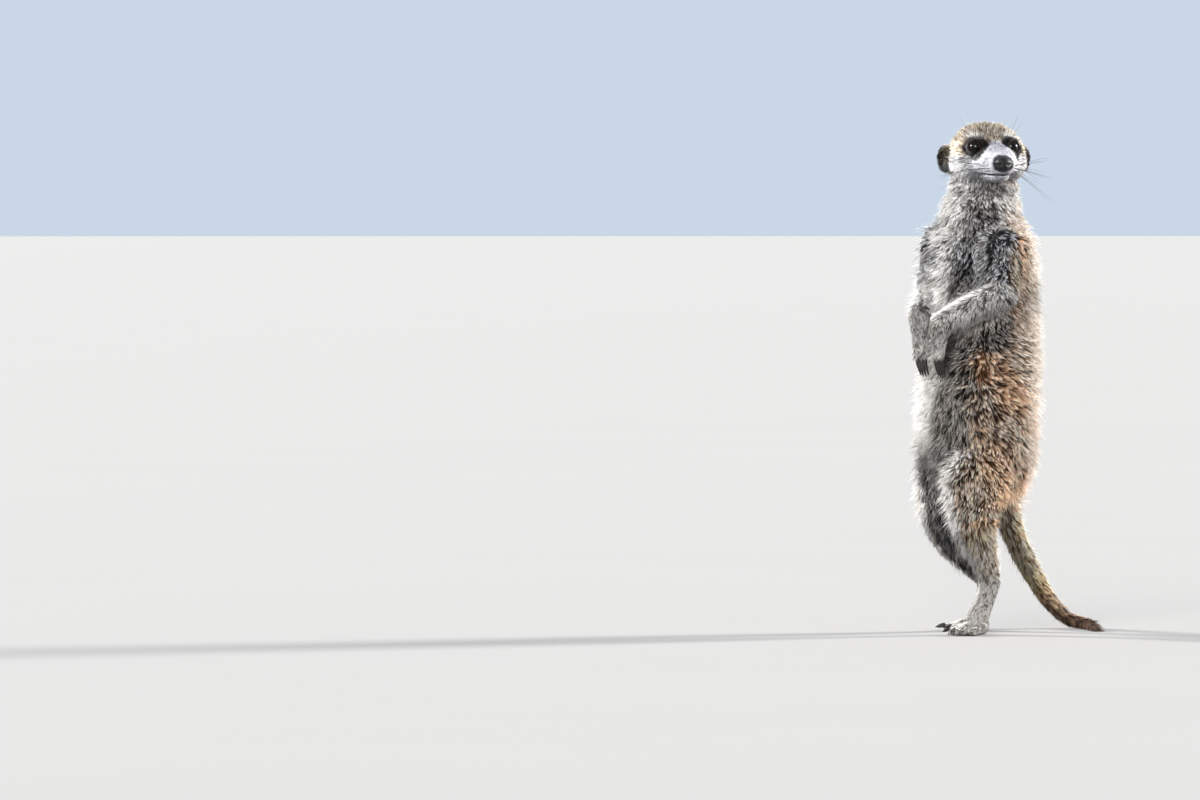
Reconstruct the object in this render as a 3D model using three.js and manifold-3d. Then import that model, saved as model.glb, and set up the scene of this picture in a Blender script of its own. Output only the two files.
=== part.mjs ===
// A life-size meerkat (Suricata suricatta) that stands upright on its hind legs, as on watch:
// hands hanging before the belly, head turned to its left, and the tail laid on the floor as a prop.
// Units are millimetres, +Z is up. The hips face -Y, so the animal's left side is towards +X.
// All sizes reach out to the tips of the coat. The body is built from closed lofts, and each
// later piece is cut back by those that it meets, with a thin gap between them.
import * as THREE from "three";
import { mergeVertices } from "three/addons/utils/BufferGeometryUtils.js";
import Module from "manifold-3d";

const wasm = await Module();
wasm.setup();

// ---------------------------------------------------------------- driving dimensions
const GAP = 0.3; // between neighbouring pieces
const FAR = 400; // larger than the animal
const CHEST_TURN = 15; // degrees that the chest is turned to the animal's left of the hips
const HEAD_TURN = 82.5; // degrees that the head is turned to the left of the hips
const HEAD_CENTRE = [1, 2.6, 281.4]; // middle of the skull, between the ears
const MUZZLE_START = 25; // from the head's centre, forward
const EYE = { forward: 18.8, side: 10, up: 3, radius: 5, outward: 24 };
const NOSE = { forward: 41.2, up: -6.9, wide: 5.1, high: 4.5, deep: 4.4 };
const EAR = { forward: -3, side: 22.2, up: -3.6, tall: 8.4, wide: 6, deep: 5.4 };
const SIDES = { left: 1, right: -1 }; // the sign of X

// ---------------------------------------------------------------- building closed solids
const vec = (p) => new THREE.Vector3(...p);
const radians = THREE.MathUtils.degToRad;

/** A closed geometry as a manifold-3d solid, with its faces pointing out. */
function solid(geometry) {
  const bare = new THREE.BufferGeometry();
  bare.setAttribute("position", geometry.getAttribute("position"));
  if (geometry.index) bare.setIndex(geometry.index);
  const merged = mergeVertices(bare, 1e-4);
  const triVerts = new Uint32Array(merged.index.array);
  const vertProperties = new Float32Array(merged.attributes.position.array);
  const made = new wasm.Manifold(new wasm.Mesh({ numProp: 3, vertProperties, triVerts }));
  if (made.volume() > 0) return made;
  for (let i = 0; i < triVerts.length; i += 3) {
    [triVerts[i + 1], triVerts[i + 2]] = [triVerts[i + 2], triVerts[i + 1]];
  }
  return new wasm.Manifold(new wasm.Mesh({ numProp: 3, vertProperties, triVerts }));
}

/** A manifold-3d solid as a three.js geometry. */
function geometryOf(made) {
  const mesh = made.getMesh();
  const geometry = new THREE.BufferGeometry();
  geometry.setAttribute("position", new THREE.BufferAttribute(mesh.vertProperties, 3));
  geometry.setIndex(new THREE.BufferAttribute(mesh.triVerts, 1));
  geometry.computeVertexNormals();
  return geometry;
}

/**
 * A closed tube with rounded ends through stations [x, y, z, side, up, down]: half-widths to
 * either side, towards `facing` and away from it. `facing` is a vector or a function of t.
 * `power` 2 gives elliptical sections and more gives squarer ones; `grow` fattens it all round.
 */
function loft(stations, { facing, sides = 12, rings = 10, power = 2, round = 0.9, caps = 3, grow = 0 }) {
  const path = new THREE.CatmullRomCurve3(stations.map((s) => vec(s.slice(0, 3))), false, "centripetal");
  const sizes = new THREE.CatmullRomCurve3(
    stations.map(([, , , side, up = side, down = up]) => vec([side, up, down])),
    false,
    "catmullrom",
    0.4,
  );
  const points = [];
  const ring = (t, along, scale) => {
    const tangent = path.getTangent(t);
    const up = (typeof facing === "function" ? facing(t) : vec(facing)).clone();
    up.addScaledVector(tangent, -up.dot(tangent)).normalize();
    const across = new THREE.Vector3().crossVectors(tangent, up);
    const centre = path.getPoint(t).addScaledVector(tangent, along);
    const size = sizes.getPoint(t).addScalar(grow);
    for (let i = 0; i < sides; i++) {
      const angle = (2 * Math.PI * i) / sides;
      const bend = (v) => Math.sign(v) * Math.abs(v) ** (2 / power);
      const x = bend(Math.sin(angle)) * size.x;
      const y = bend(Math.cos(angle)) * (Math.cos(angle) > 0 ? size.y : size.z);
      points.push(centre.clone().addScaledVector(across, x * scale).addScaledVector(up, y * scale));
    }
  };
  const capLength = (t) => {
    const size = sizes.getPoint(t);
    return round * Math.min(size.x, (size.y + size.z) / 2) + grow;
  };
  for (let k = 1; k < caps; k++) {
    const a = (Math.PI / 2) * (k / caps);
    ring(0, -capLength(0) * Math.cos(a), Math.sin(a));
  }
  for (let k = 0; k <= rings; k++) ring(k / rings, 0, 1);
  for (let k = caps - 1; k >= 1; k--) {
    const a = (Math.PI / 2) * (k / caps);
    ring(1, capLength(1) * Math.cos(a), Math.sin(a));
  }
  const rows = points.length / sides;
  const pole = (t, sign) => path.getPoint(t).addScaledVector(path.getTangent(t), sign * capLength(t));
  const first = points.push(pole(0, -1)) - 1;
  const last = points.push(pole(1, 1)) - 1;
  const index = [];
  for (let i = 0; i < sides; i++) {
    const j = (i + 1) % sides;
    index.push(first, j, i, last, (rows - 1) * sides + i, (rows - 1) * sides + j);
    for (let r = 0; r < rows - 1; r++) {
      const [a, b] = [r * sides, (r + 1) * sides];
      index.push(a + i, a + j, b + j, a + i, b + j, b + i);
    }
  }
  const geometry = new THREE.BufferGeometry().setFromPoints(points);
  geometry.setIndex(index);
  return solid(geometry);
}

/** An ellipsoid with half-axes [x, y, z], turned by `turn` degrees about Z, then moved to `at`. */
function ellipsoid(halves, at, { turn = 0, grow = 0, sides = 10, rows = 7 } = {}) {
  const geometry = new THREE.SphereGeometry(1, sides, rows);
  geometry.scale(...halves.map((h) => h + grow));
  geometry.rotateZ(radians(turn)).translate(...at);
  return solid(geometry);
}

/** The half-space behind a plane: everything on the side that `normal` points away from. */
function halfSpace(point, normal) {
  const geometry = new THREE.BoxGeometry(2 * FAR, 2 * FAR, FAR);
  geometry.translate(0, 0, -FAR / 2);
  const turn = new THREE.Quaternion().setFromUnitVectors(vec([0, 0, 1]), vec(normal).normalize());
  geometry.applyQuaternion(turn).translate(...point);
  return solid(geometry);
}

const join = (pieces) => pieces.reduce((whole, piece) => whole.add(piece));

/** What is left of a piece after the cutters: its largest body, without slivers beyond them. */
function cutBy(piece, ...cutters) {
  const left = cutters.reduce((rest, cutter) => rest.subtract(cutter), piece);
  return left.decompose().sort((a, b) => b.volume() - a.volume())[0];
}

/** Parts a solid at planes {at, along}, in order along it, into planes.length + 1 pieces. */
function partAt(whole, planes) {
  const behind = planes.map(({ at, along }) => {
    const shift = vec(along).normalize().multiplyScalar(GAP / 2);
    return {
      low: halfSpace(vec(at).sub(shift).toArray(), along),
      high: halfSpace(vec(at).add(shift).toArray(), along),
    };
  });
  return [...planes, null].map((_, i) => {
    let piece = whole;
    if (i < planes.length) piece = piece.intersect(behind[i].low);
    if (i > 0) piece = piece.subtract(behind[i - 1].high);
    return piece;
  });
}

/** A horizontal direction that is turned from -Y towards the animal's left by `turn` degrees. */
const towards = (turn) => vec([Math.sin(radians(turn)), -Math.cos(radians(turn)), 0]);

// ---------------------------------------------------------------- trunk and neck
// Each row: height, half-width, depth before and behind the spine's line, turn in degrees.
const TRUNK_ROWS = [
  [84, 21.5, 19, 24.5, 0],
  [95, 29, 24.5, 29.5, 1],
  [106, 31.8, 30.6, 30.6, 2],
  [118, 32.8, 34.2, 31.2, 4],
  [132, 32.8, 34.8, 31.5, 6],
  [150, 31.2, 33.8, 32.6, 9],
  [170, 29, 31.2, 34.2, 12],
  [190, 26.8, 30.4, 35.4, 14],
  [206, 25.8, 31.4, 35.4, 15],
  [220, 25.2, 30.2, 34.2, 15],
  [231, 24.4, 27.8, 31, 16],
  [239, 22.8, 24.2, 27.2, 17],
];
const BELLY_AT = 116; // heights of the cuts between hips, belly, chest and neck
const CHEST_AT = 180;
const NECK_AT = 242;

const turnAt = (rows) => (t) => {
  const place = t * (rows.length - 1);
  const k = Math.min(Math.floor(place), rows.length - 2);
  return towards(THREE.MathUtils.lerp(rows[k].at(-1), rows[k + 1].at(-1), place - k));
};
const upright = (rows) => rows.map(([z, side, front, back]) => [0, 0, z, side, front, back]);

const trunk = (grow = 0) =>
  loft(upright(TRUNK_ROWS), {
    facing: turnAt(TRUNK_ROWS), sides: 22, rings: 14, power: 2.1, round: 0.55, grow,
  });

const NECK_STATIONS = [
  [0, 0, 236, 25, 25, 26.5],
  [0, 0.2, 246, 23, 23, 23.6],
  [0.5, 1.1, 254, 21.3, 21.3, 21.6],
  [0.8, 2, 262, 20.5, 20.4, 20.8],
  [0.9, 2.2, 272, 20, 19.8, 20.4],
];
const neck = (grow = 0) =>
  loft(NECK_STATIONS, { facing: towards(45), sides: 18, rings: 6, round: 0.3, caps: 2, grow });

// ---------------------------------------------------------------- head, in its own frame
// The head's frame has -Y forward, +X to its left and its centre between the ears.
// Each row: distance forward, height of the widest line, half-width, up and down from that line.
const HEAD_ROWS = [
  [-18, -3, 14.5, 13.5, 12],
  [-11, -4.4, 19.4, 19.2, 14.6],
  [-2, -5.4, 22, 23.2, 15.2],
  [7, -5.6, 22.5, 23, 14.6],
  [13.5, -5.2, 21.6, 19.4, 13.6],
  [18.5, -4.8, 19.2, 15.6, 12.4],
  [24, -5, 14.6, 11.4, 10],
  [30, -5.8, 11.2, 8.4, 8],
  [36, -6.8, 9, 6.4, 6],
  [41, -7.6, 6.8, 4.6, 4.8],
];
const JAW_ROWS = [
  [2, -12, 12, 5, 7],
  [12, -12.6, 12.5, 5, 6],
  [20, -12.8, 10.4, 4, 5],
  [28, -12.6, 7.8, 3, 4.6],
  [34, -12, 5.4, 2.6, 4],
];
const alongHead = (rows) =>
  rows.map(([forward, height, side, up, down]) => [0, -forward, height, side, up, down]);
const UP = [0, 0, 1];

const skull = (grow = 0) =>
  loft(alongHead(HEAD_ROWS), { facing: UP, sides: 20, rings: 13, power: 2.35, round: 0.4, caps: 2, grow });
const jaw = (grow = 0) =>
  loft(alongHead(JAW_ROWS), { facing: UP, sides: 12, rings: 7, power: 2.2, round: 0.8, caps: 2, grow });
const nose = (grow = 0) =>
  ellipsoid([NOSE.wide, NOSE.deep, NOSE.high], [0, -NOSE.forward, NOSE.up], { grow });
const eyeAt = (sign, out = 0) => [
  sign * (EYE.side + out * Math.sin(radians(EYE.outward))),
  -(EYE.forward + out * Math.cos(radians(EYE.outward))),
  EYE.up,
];
const eyeball = (sign, grow = 0) =>
  ellipsoid([EYE.radius, EYE.radius, EYE.radius], eyeAt(sign), { grow, sides: 14, rows: 9 });
/** The hollow before the eye that the brow, cheek and bridge of the nose leave open. */
const socket = (sign) =>
  ellipsoid([6.6, 4.4, 5.4], eyeAt(sign, EYE.radius + 1.6), { turn: sign * EYE.outward });

/** A low rounded ear: a shell that is open forwards and outwards. */
function ear(sign) {
  const at = [sign * EAR.side, -EAR.forward, EAR.up];
  const turn = sign * -20;
  const shell = ellipsoid([EAR.wide, EAR.deep, EAR.tall], at, { turn, sides: 14, rows: 9 });
  const bowlAt = [at[0] + sign * 2.6, at[1] - 4.2, at[2] - 0.4];
  const bowl = ellipsoid([EAR.wide - 1, EAR.deep - 0.6, EAR.tall - 2.6], bowlAt, { turn });
  return cutBy(shell, bowl, skull(GAP));
}

function headPieces() {
  const hollowed = cutBy(
    skull(),
    nose(GAP),
    ...Object.values(SIDES).flatMap((sign) => [socket(sign), eyeball(sign, GAP)]),
  );
  const [head, muzzle] = partAt(hollowed, [{ at: [0, -MUZZLE_START, 0], along: [0, -1, 0] }]);
  const pieces = { head, muzzle, lower_jaw: cutBy(jaw(), skull(GAP)), nose: nose() };
  for (const [name, sign] of Object.entries(SIDES)) {
    pieces[`ear_${name}`] = ear(sign);
    pieces[`eye_${name}`] = eyeball(sign);
  }
  return pieces;
}

const headMatrix = new THREE.Matrix4()
  .makeRotationZ(radians(HEAD_TURN))
  .setPosition(...HEAD_CENTRE);
const inBody = (headSolid) => headSolid.transform(headMatrix.elements);

// ---------------------------------------------------------------- arms
/** A place on the chest: `side` to the animal's left, `front` before the spine, `z` high. */
function onChest(side, front, z) {
  const forward = towards(CHEST_TURN);
  const left = vec([-forward.y, forward.x, 0]);
  return [left.x * side + forward.x * front, left.y * side + forward.y * front, z];
}

const ARMS = {
  left: {
    shoulder: onChest(21.5, 1, 228),
    elbow: onChest(31, 6.5, 199),
    wrist: onChest(16.5, 41, 181.5),
    knuckles: onChest(14.5, 40.5, 169.5),
    fingersTurn: 4,
  },
  right: {
    shoulder: onChest(-21.5, 9, 229),
    elbow: onChest(-29, 14, 197),
    wrist: onChest(-8, 38.5, 187),
    knuckles: onChest(-5.5, 39.8, 170),
    fingersTurn: 10,
  },
};
const FINGERS = [-1.5, -0.5, 0.5, 1.5]; // four on each hand and foot
const FINGER = { spacing: 2.9, root: 2.3, end: 1.95, length: 6.6, shorter: 0.8 };
const HAND_CLAW = { length: 13.6, radius: 1.3, curve: 3.2 };

const between = (a, b, t) => vec(a).lerp(vec(b), t).toArray();

const upperArm = (arm, grow = 0) =>
  loft(
    [
      [...arm.shoulder, 12.5, 15, 17],
      [...between(arm.shoulder, arm.elbow, 0.5), 10.6, 13, 15],
      [...arm.elbow, 9.2, 10],
    ],
    { facing: towards(CHEST_TURN), sides: 12, rings: 4, grow },
  );
const forearm = (arm, grow = 0) =>
  loft(
    [
      [...arm.elbow, 9.4, 10],
      [...between(arm.elbow, arm.wrist, 0.5), 8, 9],
      [...arm.wrist, 6.2, 7.2],
    ],
    { facing: UP, sides: 12, rings: 4, grow },
  );

/** Where finger i starts and where its claw ends, spread across the back of the hand. */
function fingerLine(arm, i) {
  const down = vec(arm.knuckles).sub(vec(arm.wrist)).normalize();
  const across = towards(arm.fingersTurn + 90);
  const root = vec(arm.knuckles).addScaledVector(across, i * FINGER.spacing);
  const drop = FINGER.length - FINGER.shorter * (Math.abs(i) - 0.5); // longest in the middle
  return { root, tip: root.clone().addScaledVector(down, drop), down };
}
const hand = (arm, grow = 0) =>
  join([
    loft(
      [
        [...between(arm.wrist, arm.knuckles, 0.1), 6.2, 6],
        [...between(arm.wrist, arm.knuckles, 0.55), 5.8, 4.8],
        [...arm.knuckles, 5.8, 3.6],
      ],
      { facing: towards(arm.fingersTurn), sides: 10, rings: 3, round: 0.6, caps: 2, grow },
    ),
    ...FINGERS.map((i) => {
      const { root, tip } = fingerLine(arm, i);
      return loft([[...root.toArray(), FINGER.root], [...tip.toArray(), FINGER.end]], {
        facing: towards(arm.fingersTurn), sides: 6, rings: 1, caps: 2, grow,
      });
    }),
  ]);

/** A curved, tapered claw from `start`, first along `out`, bending towards `bend`. */
function claw(start, out, bend, { length, radius, curve }) {
  const at = (t) =>
    start.clone().addScaledVector(out, length * t).addScaledVector(bend, curve * t * t).toArray();
  return loft(
    [
      [...at(0), radius, radius * 1.3],
      [...at(0.5), radius * 0.8, radius],
      [...at(0.95), radius * 0.3, radius * 0.35],
    ],
    { facing: bend, sides: 6, rings: 2, caps: 1 },
  );
}

/** The plane that halves the bend at `joint` between the places before and after it. */
function bendPlane(before, joint, after) {
  const arriving = vec(joint).sub(vec(before)).normalize();
  const leaving = vec(after).sub(vec(joint)).normalize();
  return { at: joint, along: arriving.add(leaving).toArray() };
}

function armPieces(name, arm) {
  const whole = cutBy(join([upperArm(arm), forearm(arm), hand(arm)]), trunk(GAP), neck(GAP));
  const [inner, fore, palm] = partAt(whole, [
    bendPlane(arm.shoulder, arm.elbow, arm.wrist),
    bendPlane(arm.elbow, arm.wrist, arm.knuckles),
  ]);
  const pieces = {
    [`upper_arm_${name}`]: inner,
    [`forearm_${name}`]: fore,
    [`hand_${name}`]: palm,
  };
  const backwards = towards(arm.fingersTurn).negate();
  FINGERS.forEach((i, k) => {
    const { tip, down } = fingerLine(arm, i);
    pieces[`claw_hand_${name}_${k + 1}`] = cutBy(claw(tip, down, backwards, HAND_CLAW), hand(arm, GAP));
  });
  return pieces;
}

// ---------------------------------------------------------------- legs
// Each row, from the hip to the ankle: x, y, z, half-width across, before and behind.
const LEGS = {
  left: {
    rows: [
      [15, -1, 116, 14, 20],
      [19, -7, 102, 14.5, 21.5],
      [22.5, -11, 89, 13.5, 20.5],
      [24.6, -13, 76, 12, 17.6],
      [25, -13, 64, 10.8, 14.6],
      [23.8, -10.6, 53, 9.6, 11.8],
      [21.6, -5.4, 42, 8, 9],
      [20, -2, 33, 6.6, 7],
      [19.4, -3, 24, 5.4, 5.6],
      [19.6, -6.6, 15, 5.8, 5.8],
      [20.4, -10, 8, 6.2, 6.4],
    ],
    footTurn: 35, // toes point this far to the animal's left of straight ahead
  },
  right: {
    rows: [
      [-15.5, -6, 117, 13.5, 24],
      [-19, -8, 103, 14.5, 23.4],
      [-22.5, -9.5, 89, 13.5, 20.5],
      [-24.4, -11.4, 76, 12, 17.6],
      [-24.6, -11, 64, 10.8, 14.6],
      [-23.8, -6.6, 53, 9.6, 11.8],
      [-21.8, 2.6, 42, 8, 9],
      [-20.4, 11.6, 33, 6.6, 7],
      [-20, 12.4, 24, 5.4, 5.6],
      [-20, 9.6, 15, 5.8, 5.8],
      [-20.2, 6.2, 8, 6.2, 6.4],
    ],
    footTurn: -8,
  },
};
const GROIN = { side: 13, z: 80, rise: 58 }; // the thigh's upper cut starts here, rising in degrees
const KNEE_AT = 70;
const HOCK_AT = 31;
const TOE = { spacing: 4.3, radius: 2.7, length: 16, fan: 7, sunk: 0.5 };
const FOOT_CLAW = { length: 5.4, radius: 1, curve: 1.4 };

const leg = ({ rows }, grow = 0) =>
  loft(rows.map(([x, y, z, side, depth]) => [x, y, z, side, depth]), {
    facing: [0, -1, 0], sides: 12, rings: 14, round: 0.5, caps: 2, grow,
  });

/** All that lies outside the groin's cut on one side, moved outwards by `shift`. */
function beyondGroin(sign, shift) {
  const rise = radians(GROIN.rise);
  const outwards = [sign * Math.sin(rise), 0, -Math.cos(rise)];
  const at = vec([sign * GROIN.side, 0, GROIN.z]).addScaledVector(vec(outwards), shift);
  const inwards = outwards.map((v) => -v);
  return halfSpace(at.toArray(), inwards).intersect(halfSpace([0, 0, 0], [-sign, 0, 0]));
}

/** The line of toe i on the floor: where it starts under the ball of the foot, and its tip. */
function toeLine({ rows, footTurn }, i) {
  const ball = vec(rows.at(-1).slice(0, 3)).setZ(TOE.radius + 1.4);
  const ahead = towards(footTurn + i * TOE.fan);
  const root = ball.addScaledVector(towards(footTurn + 90), i * TOE.spacing * 0.8);
  root.addScaledVector(ahead, 2);
  const reach = TOE.length - 1.6 * (Math.abs(i) - 0.5);
  const tip = root.clone().addScaledVector(ahead, reach).setZ(TOE.radius - TOE.sunk);
  return { root, tip, ahead };
}

/** Pads, toes and the ball of the foot, flat where they stand on the floor. */
function paw(limb, grow = 0) {
  const ball = limb.rows.at(-1);
  const ahead = towards(limb.footTurn);
  const pad = (reach, z) => [ball[0] + ahead.x * reach, ball[1] + ahead.y * reach, z];
  const sole = loft([[...pad(-3, 4.4), 6, 5], [...pad(3, 4.1), 7.2, 4.8], [...pad(9, 3.2), 7, 3.8]], {
    facing: UP, sides: 10, rings: 3, caps: 2, grow,
  });
  const toes = FINGERS.map((i) => {
    const { root, tip } = toeLine(limb, i);
    return loft(
      [
        [...root.toArray(), TOE.radius, TOE.radius + 0.6],
        [...root.clone().lerp(tip, 0.55).toArray(), TOE.radius * 0.92, TOE.radius],
        [...tip.toArray(), TOE.radius * 0.82, TOE.radius * 0.9],
      ],
      { facing: UP, sides: 6, rings: 2, caps: 2, grow },
    );
  });
  return join([sole, ...toes]);
}

const FLOOR = halfSpace([0, 0, 0], UP);

function legPieces(name, limb, lowerBody) {
  const [thigh, shank, ankle] = partAt(
    lowerBody.intersect(beyondGroin(SIDES[name], GAP / 2)),
    [
      { at: [0, 0, KNEE_AT], along: [0, 0, -1] },
      { at: [0, 0, HOCK_AT], along: [0, 0.35, -1] },
    ],
  );
  const foot = cutBy(join([ankle, paw(limb)]), FLOOR);
  const pieces = { [`thigh_${name}`]: thigh, [`shank_${name}`]: shank, [`foot_${name}`]: foot };
  FINGERS.forEach((i, k) => {
    const { tip, ahead } = toeLine(limb, i);
    const start = tip.clone().addScaledVector(ahead, TOE.radius * 0.4).setZ(tip.z + 1.3);
    const made = claw(start, ahead, vec([0, 0, -1]), FOOT_CLAW);
    pieces[`claw_foot_${name}_${k + 1}`] = cutBy(made, paw(limb, GAP));
  });
  return pieces;
}

// ---------------------------------------------------------------- tail
// From the rump down and back, then along the floor: x, y, z, radius.
const TAIL_ROWS = [
  [1, 13, 84, 9.5],
  [1.2, 17.6, 66, 7.6],
  [-5.8, 28.2, 47, 6.5],
  [-13.7, 38.2, 35, 5.9],
  [-22.3, 48.9, 23, 5.3],
  [-28.2, 58.3, 14, 4.9],
  [-31, 67.5, 6.6, 4.4],
  [-22.6, 72.4, 3.6, 3.9],
  [-6.4, 72.2, 2.8, 3],
  [12.3, 67.8, 1.4, 1.7],
];
const TAIL_CUTS = [2.6, 5.9]; // in rows from the rump

const tail = (grow = 0) => loft(TAIL_ROWS, { facing: UP, sides: 10, rings: 22, caps: 2, grow });

function tailPieces() {
  const path = new THREE.CatmullRomCurve3(TAIL_ROWS.map((row) => vec(row.slice(0, 3))), false, "centripetal");
  const planes = TAIL_CUTS.map((row) => {
    const t = row / (TAIL_ROWS.length - 1);
    return { at: path.getPoint(t).toArray(), along: path.getTangent(t).toArray() };
  });
  const legs = Object.values(LEGS).map((limb) => leg(limb, GAP));
  const whole = cutBy(tail(), trunk(GAP), FLOOR, ...legs);
  const [tail_base, tail_middle, tail_tip] = partAt(whole, planes);
  return { tail_base, tail_middle, tail_tip };
}

// ---------------------------------------------------------------- the body's pieces together
function bodyPieces() {
  const core = join([trunk(), neck(), ...Object.values(LEGS).map((limb) => leg(limb))]);
  const legless = cutBy(core, ...Object.values(SIDES).map((sign) => beyondGroin(sign, -GAP / 2)));
  const headless = cutBy(legless, inBody(skull(GAP)), inBody(jaw(GAP)));
  const [hips, belly, chest, neckOnly] = partAt(headless, [
    { at: [0, 0, BELLY_AT], along: UP },
    { at: [0, 0, CHEST_AT], along: UP },
    { at: [0, 0, NECK_AT], along: [0, -0.2, 1] },
  ]);
  const pieces = { hips, belly, chest, neck: neckOnly };
  for (const [name, arm] of Object.entries(ARMS)) Object.assign(pieces, armPieces(name, arm));
  for (const [name, limb] of Object.entries(LEGS)) Object.assign(pieces, legPieces(name, limb, core));
  return Object.assign(pieces, tailPieces());
}

// ---------------------------------------------------------------- materials and the scene graph
const COLOURS = {
  back: "#7d6a55", grey: "#77746f", pale: "#b3aa9c", dark: "#1c1817", tan: "#8a7152", iris: "#1b100b",
};
const FINISH = {
  claw: [COLOURS.dark, 0.35], nose: [COLOURS.dark, 0.4], eye: [COLOURS.iris, 0.05], ear: [COLOURS.dark, 0.9],
  tail: [COLOURS.tan, 0.9], foot: [COLOURS.pale, 0.9], hand: [COLOURS.grey, 0.9], chest: [COLOURS.grey, 0.9],
  forearm: [COLOURS.pale, 0.9], head: [COLOURS.pale, 0.9], muzzle: [COLOURS.pale, 0.85],
  lower: [COLOURS.pale, 0.85], neck: [COLOURS.pale, 0.9],
};

function mesh(name, made) {
  const [color, roughness] = FINISH[name.split("_")[0]] ?? [COLOURS.back, 0.9];
  const material = new THREE.MeshStandardMaterial({ color, roughness, metalness: 0 });
  const built = new THREE.Mesh(geometryOf(made), material);
  built.name = name;
  return built;
}

const meshes = (pieces) => Object.entries(pieces).map(([name, made]) => mesh(name, made));

const headGroup = new THREE.Group();
headGroup.add(...meshes(headPieces()));
headGroup.applyMatrix4(headMatrix);

const meerkat = new THREE.Group();
meerkat.add(...meshes(bodyPieces()), headGroup);

// The part's origin is on the floor, below the middle of its bounding box.
meerkat.updateMatrixWorld(true);
const box = new THREE.Box3().setFromObject(meerkat, true);
const middle = box.getCenter(new THREE.Vector3());
meerkat.position.set(-middle.x, -middle.y, -box.min.z);

export default meerkat;
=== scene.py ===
"""The looks of a life-size meerkat on watch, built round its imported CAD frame.

One skin takes the place of all the nodes of flesh: it is their joined surface, let in by the depth
of the coat, with lids, nostrils and a mouth shaped into the face. The coat is grown over it as
small closed spikes that follow the lie of the hair, in one mesh for each part of the body.
Lengths are in millimetres and turned to metres where a mesh is made. The head has its own frame:
x to the animal's left, y forward, z up, from a point between the ears.
"""

import math

import bmesh
import bpy
import numpy as np
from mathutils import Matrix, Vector
from mathutils.bvhtree import BVHTree
from mathutils.kdtree import KDTree


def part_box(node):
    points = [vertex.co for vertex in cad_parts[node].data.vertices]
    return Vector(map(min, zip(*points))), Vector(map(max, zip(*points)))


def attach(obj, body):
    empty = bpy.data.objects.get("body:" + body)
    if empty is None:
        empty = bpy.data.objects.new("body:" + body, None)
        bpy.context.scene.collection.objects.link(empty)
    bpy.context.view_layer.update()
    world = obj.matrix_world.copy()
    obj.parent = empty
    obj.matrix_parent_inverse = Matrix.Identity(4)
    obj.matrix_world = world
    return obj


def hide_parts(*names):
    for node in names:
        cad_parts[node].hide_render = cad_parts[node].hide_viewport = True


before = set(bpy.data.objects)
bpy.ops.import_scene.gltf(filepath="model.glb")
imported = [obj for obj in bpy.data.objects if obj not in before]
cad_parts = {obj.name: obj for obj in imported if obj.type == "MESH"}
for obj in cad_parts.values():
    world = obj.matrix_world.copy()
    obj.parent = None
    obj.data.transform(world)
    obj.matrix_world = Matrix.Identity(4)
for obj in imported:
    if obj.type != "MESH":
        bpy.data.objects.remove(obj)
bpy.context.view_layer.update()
MM = 0.001

# ---------------------------------------------------------------- the parts of the body
SIDES = {"left": 1, "right": -1}


def body_part(nodes, depth, length, width, density, tuft):
    """A region of skin: its CAD nodes, how deep the skin lies under the tips of the coat, how long and
    how wide the hairs are, how many grow on a square centimetre, and how wide their tufts are."""
    return dict(nodes=nodes, depth=depth, length=length, width=width, density=density, tuft=tuft)


REGIONS = {
    "head": body_part(["head"], 2.7, 4.6, 0.34, 900, 0.9),
    "muzzle": body_part(["muzzle", "lower_jaw"], 0.8, 1.7, 0.25, 1250, 0.6),
    "nose": body_part(["nose"], 0.0, 1.0, 0.2, 0, 0.6),
    "neck": body_part(["neck"], 5.0, 7.8, 0.38, 530, 1.9),
    "chest": body_part(["chest"], 7.0, 9.8, 0.40, 450, 2.1),
    "belly": body_part(["belly"], 7.5, 11.5, 0.42, 415, 2.4),
    "hips": body_part(["hips"], 6.8, 11.0, 0.42, 415, 2.4),
    "tail_base": body_part(["tail_base"], 2.4, 7.0, 0.42, 540, 1.6),
    "tail_middle": body_part(["tail_middle"], 1.8, 5.6, 0.40, 560, 1.4),
    "tail_tip": body_part(["tail_tip"], 1.3, 5.4, 0.38, 640, 1.4),
}
PAIRED = {
    "ear": (0.7, 2.2, 0.27, 900, 0.8),
    "upper_arm": (4.6, 8.0, 0.44, 560, 1.8),
    "forearm": (2.6, 6.2, 0.40, 680, 1.6),
    "hand": (0.7, 3.0, 0.28, 880, 0.9),
    "thigh": (5.2, 9.5, 0.42, 450, 2.3),
    "shank": (3.2, 7.0, 0.44, 540, 1.7),
    "foot": (1.0, 2.6, 0.30, 760, 0.9),
}
for side in SIDES:
    for stem, coat in PAIRED.items():
        REGIONS[f"{stem}_{side}"] = body_part([f"{stem}_{side}"], *coat)
NAMES = list(REGIONS)
FLESH = [node for part in REGIONS.values() for node in part["nodes"]]
CLAWS = [f"claw_{limb}_{side}_{k}" for limb in ("hand", "foot") for side in SIDES for k in (1, 2, 3, 4)]


def pair(*stems):
    """The names of both sides' regions of each stem."""
    return [f"{stem}_{side}" for stem in stems for side in SIDES]


def within(regions, names):
    """Which of an array of regions' numbers are those of the named regions."""
    return np.isin(regions, [NAMES.index(name) for name in names])


def centre(node):
    low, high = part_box(node)
    return (Vector(low) + Vector(high)) / 2


BELLY_AT = np.array(centre("belly")) / MM
THIGHS_AT = [np.array(centre(node)) / MM for node in pair("thigh")]


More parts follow.
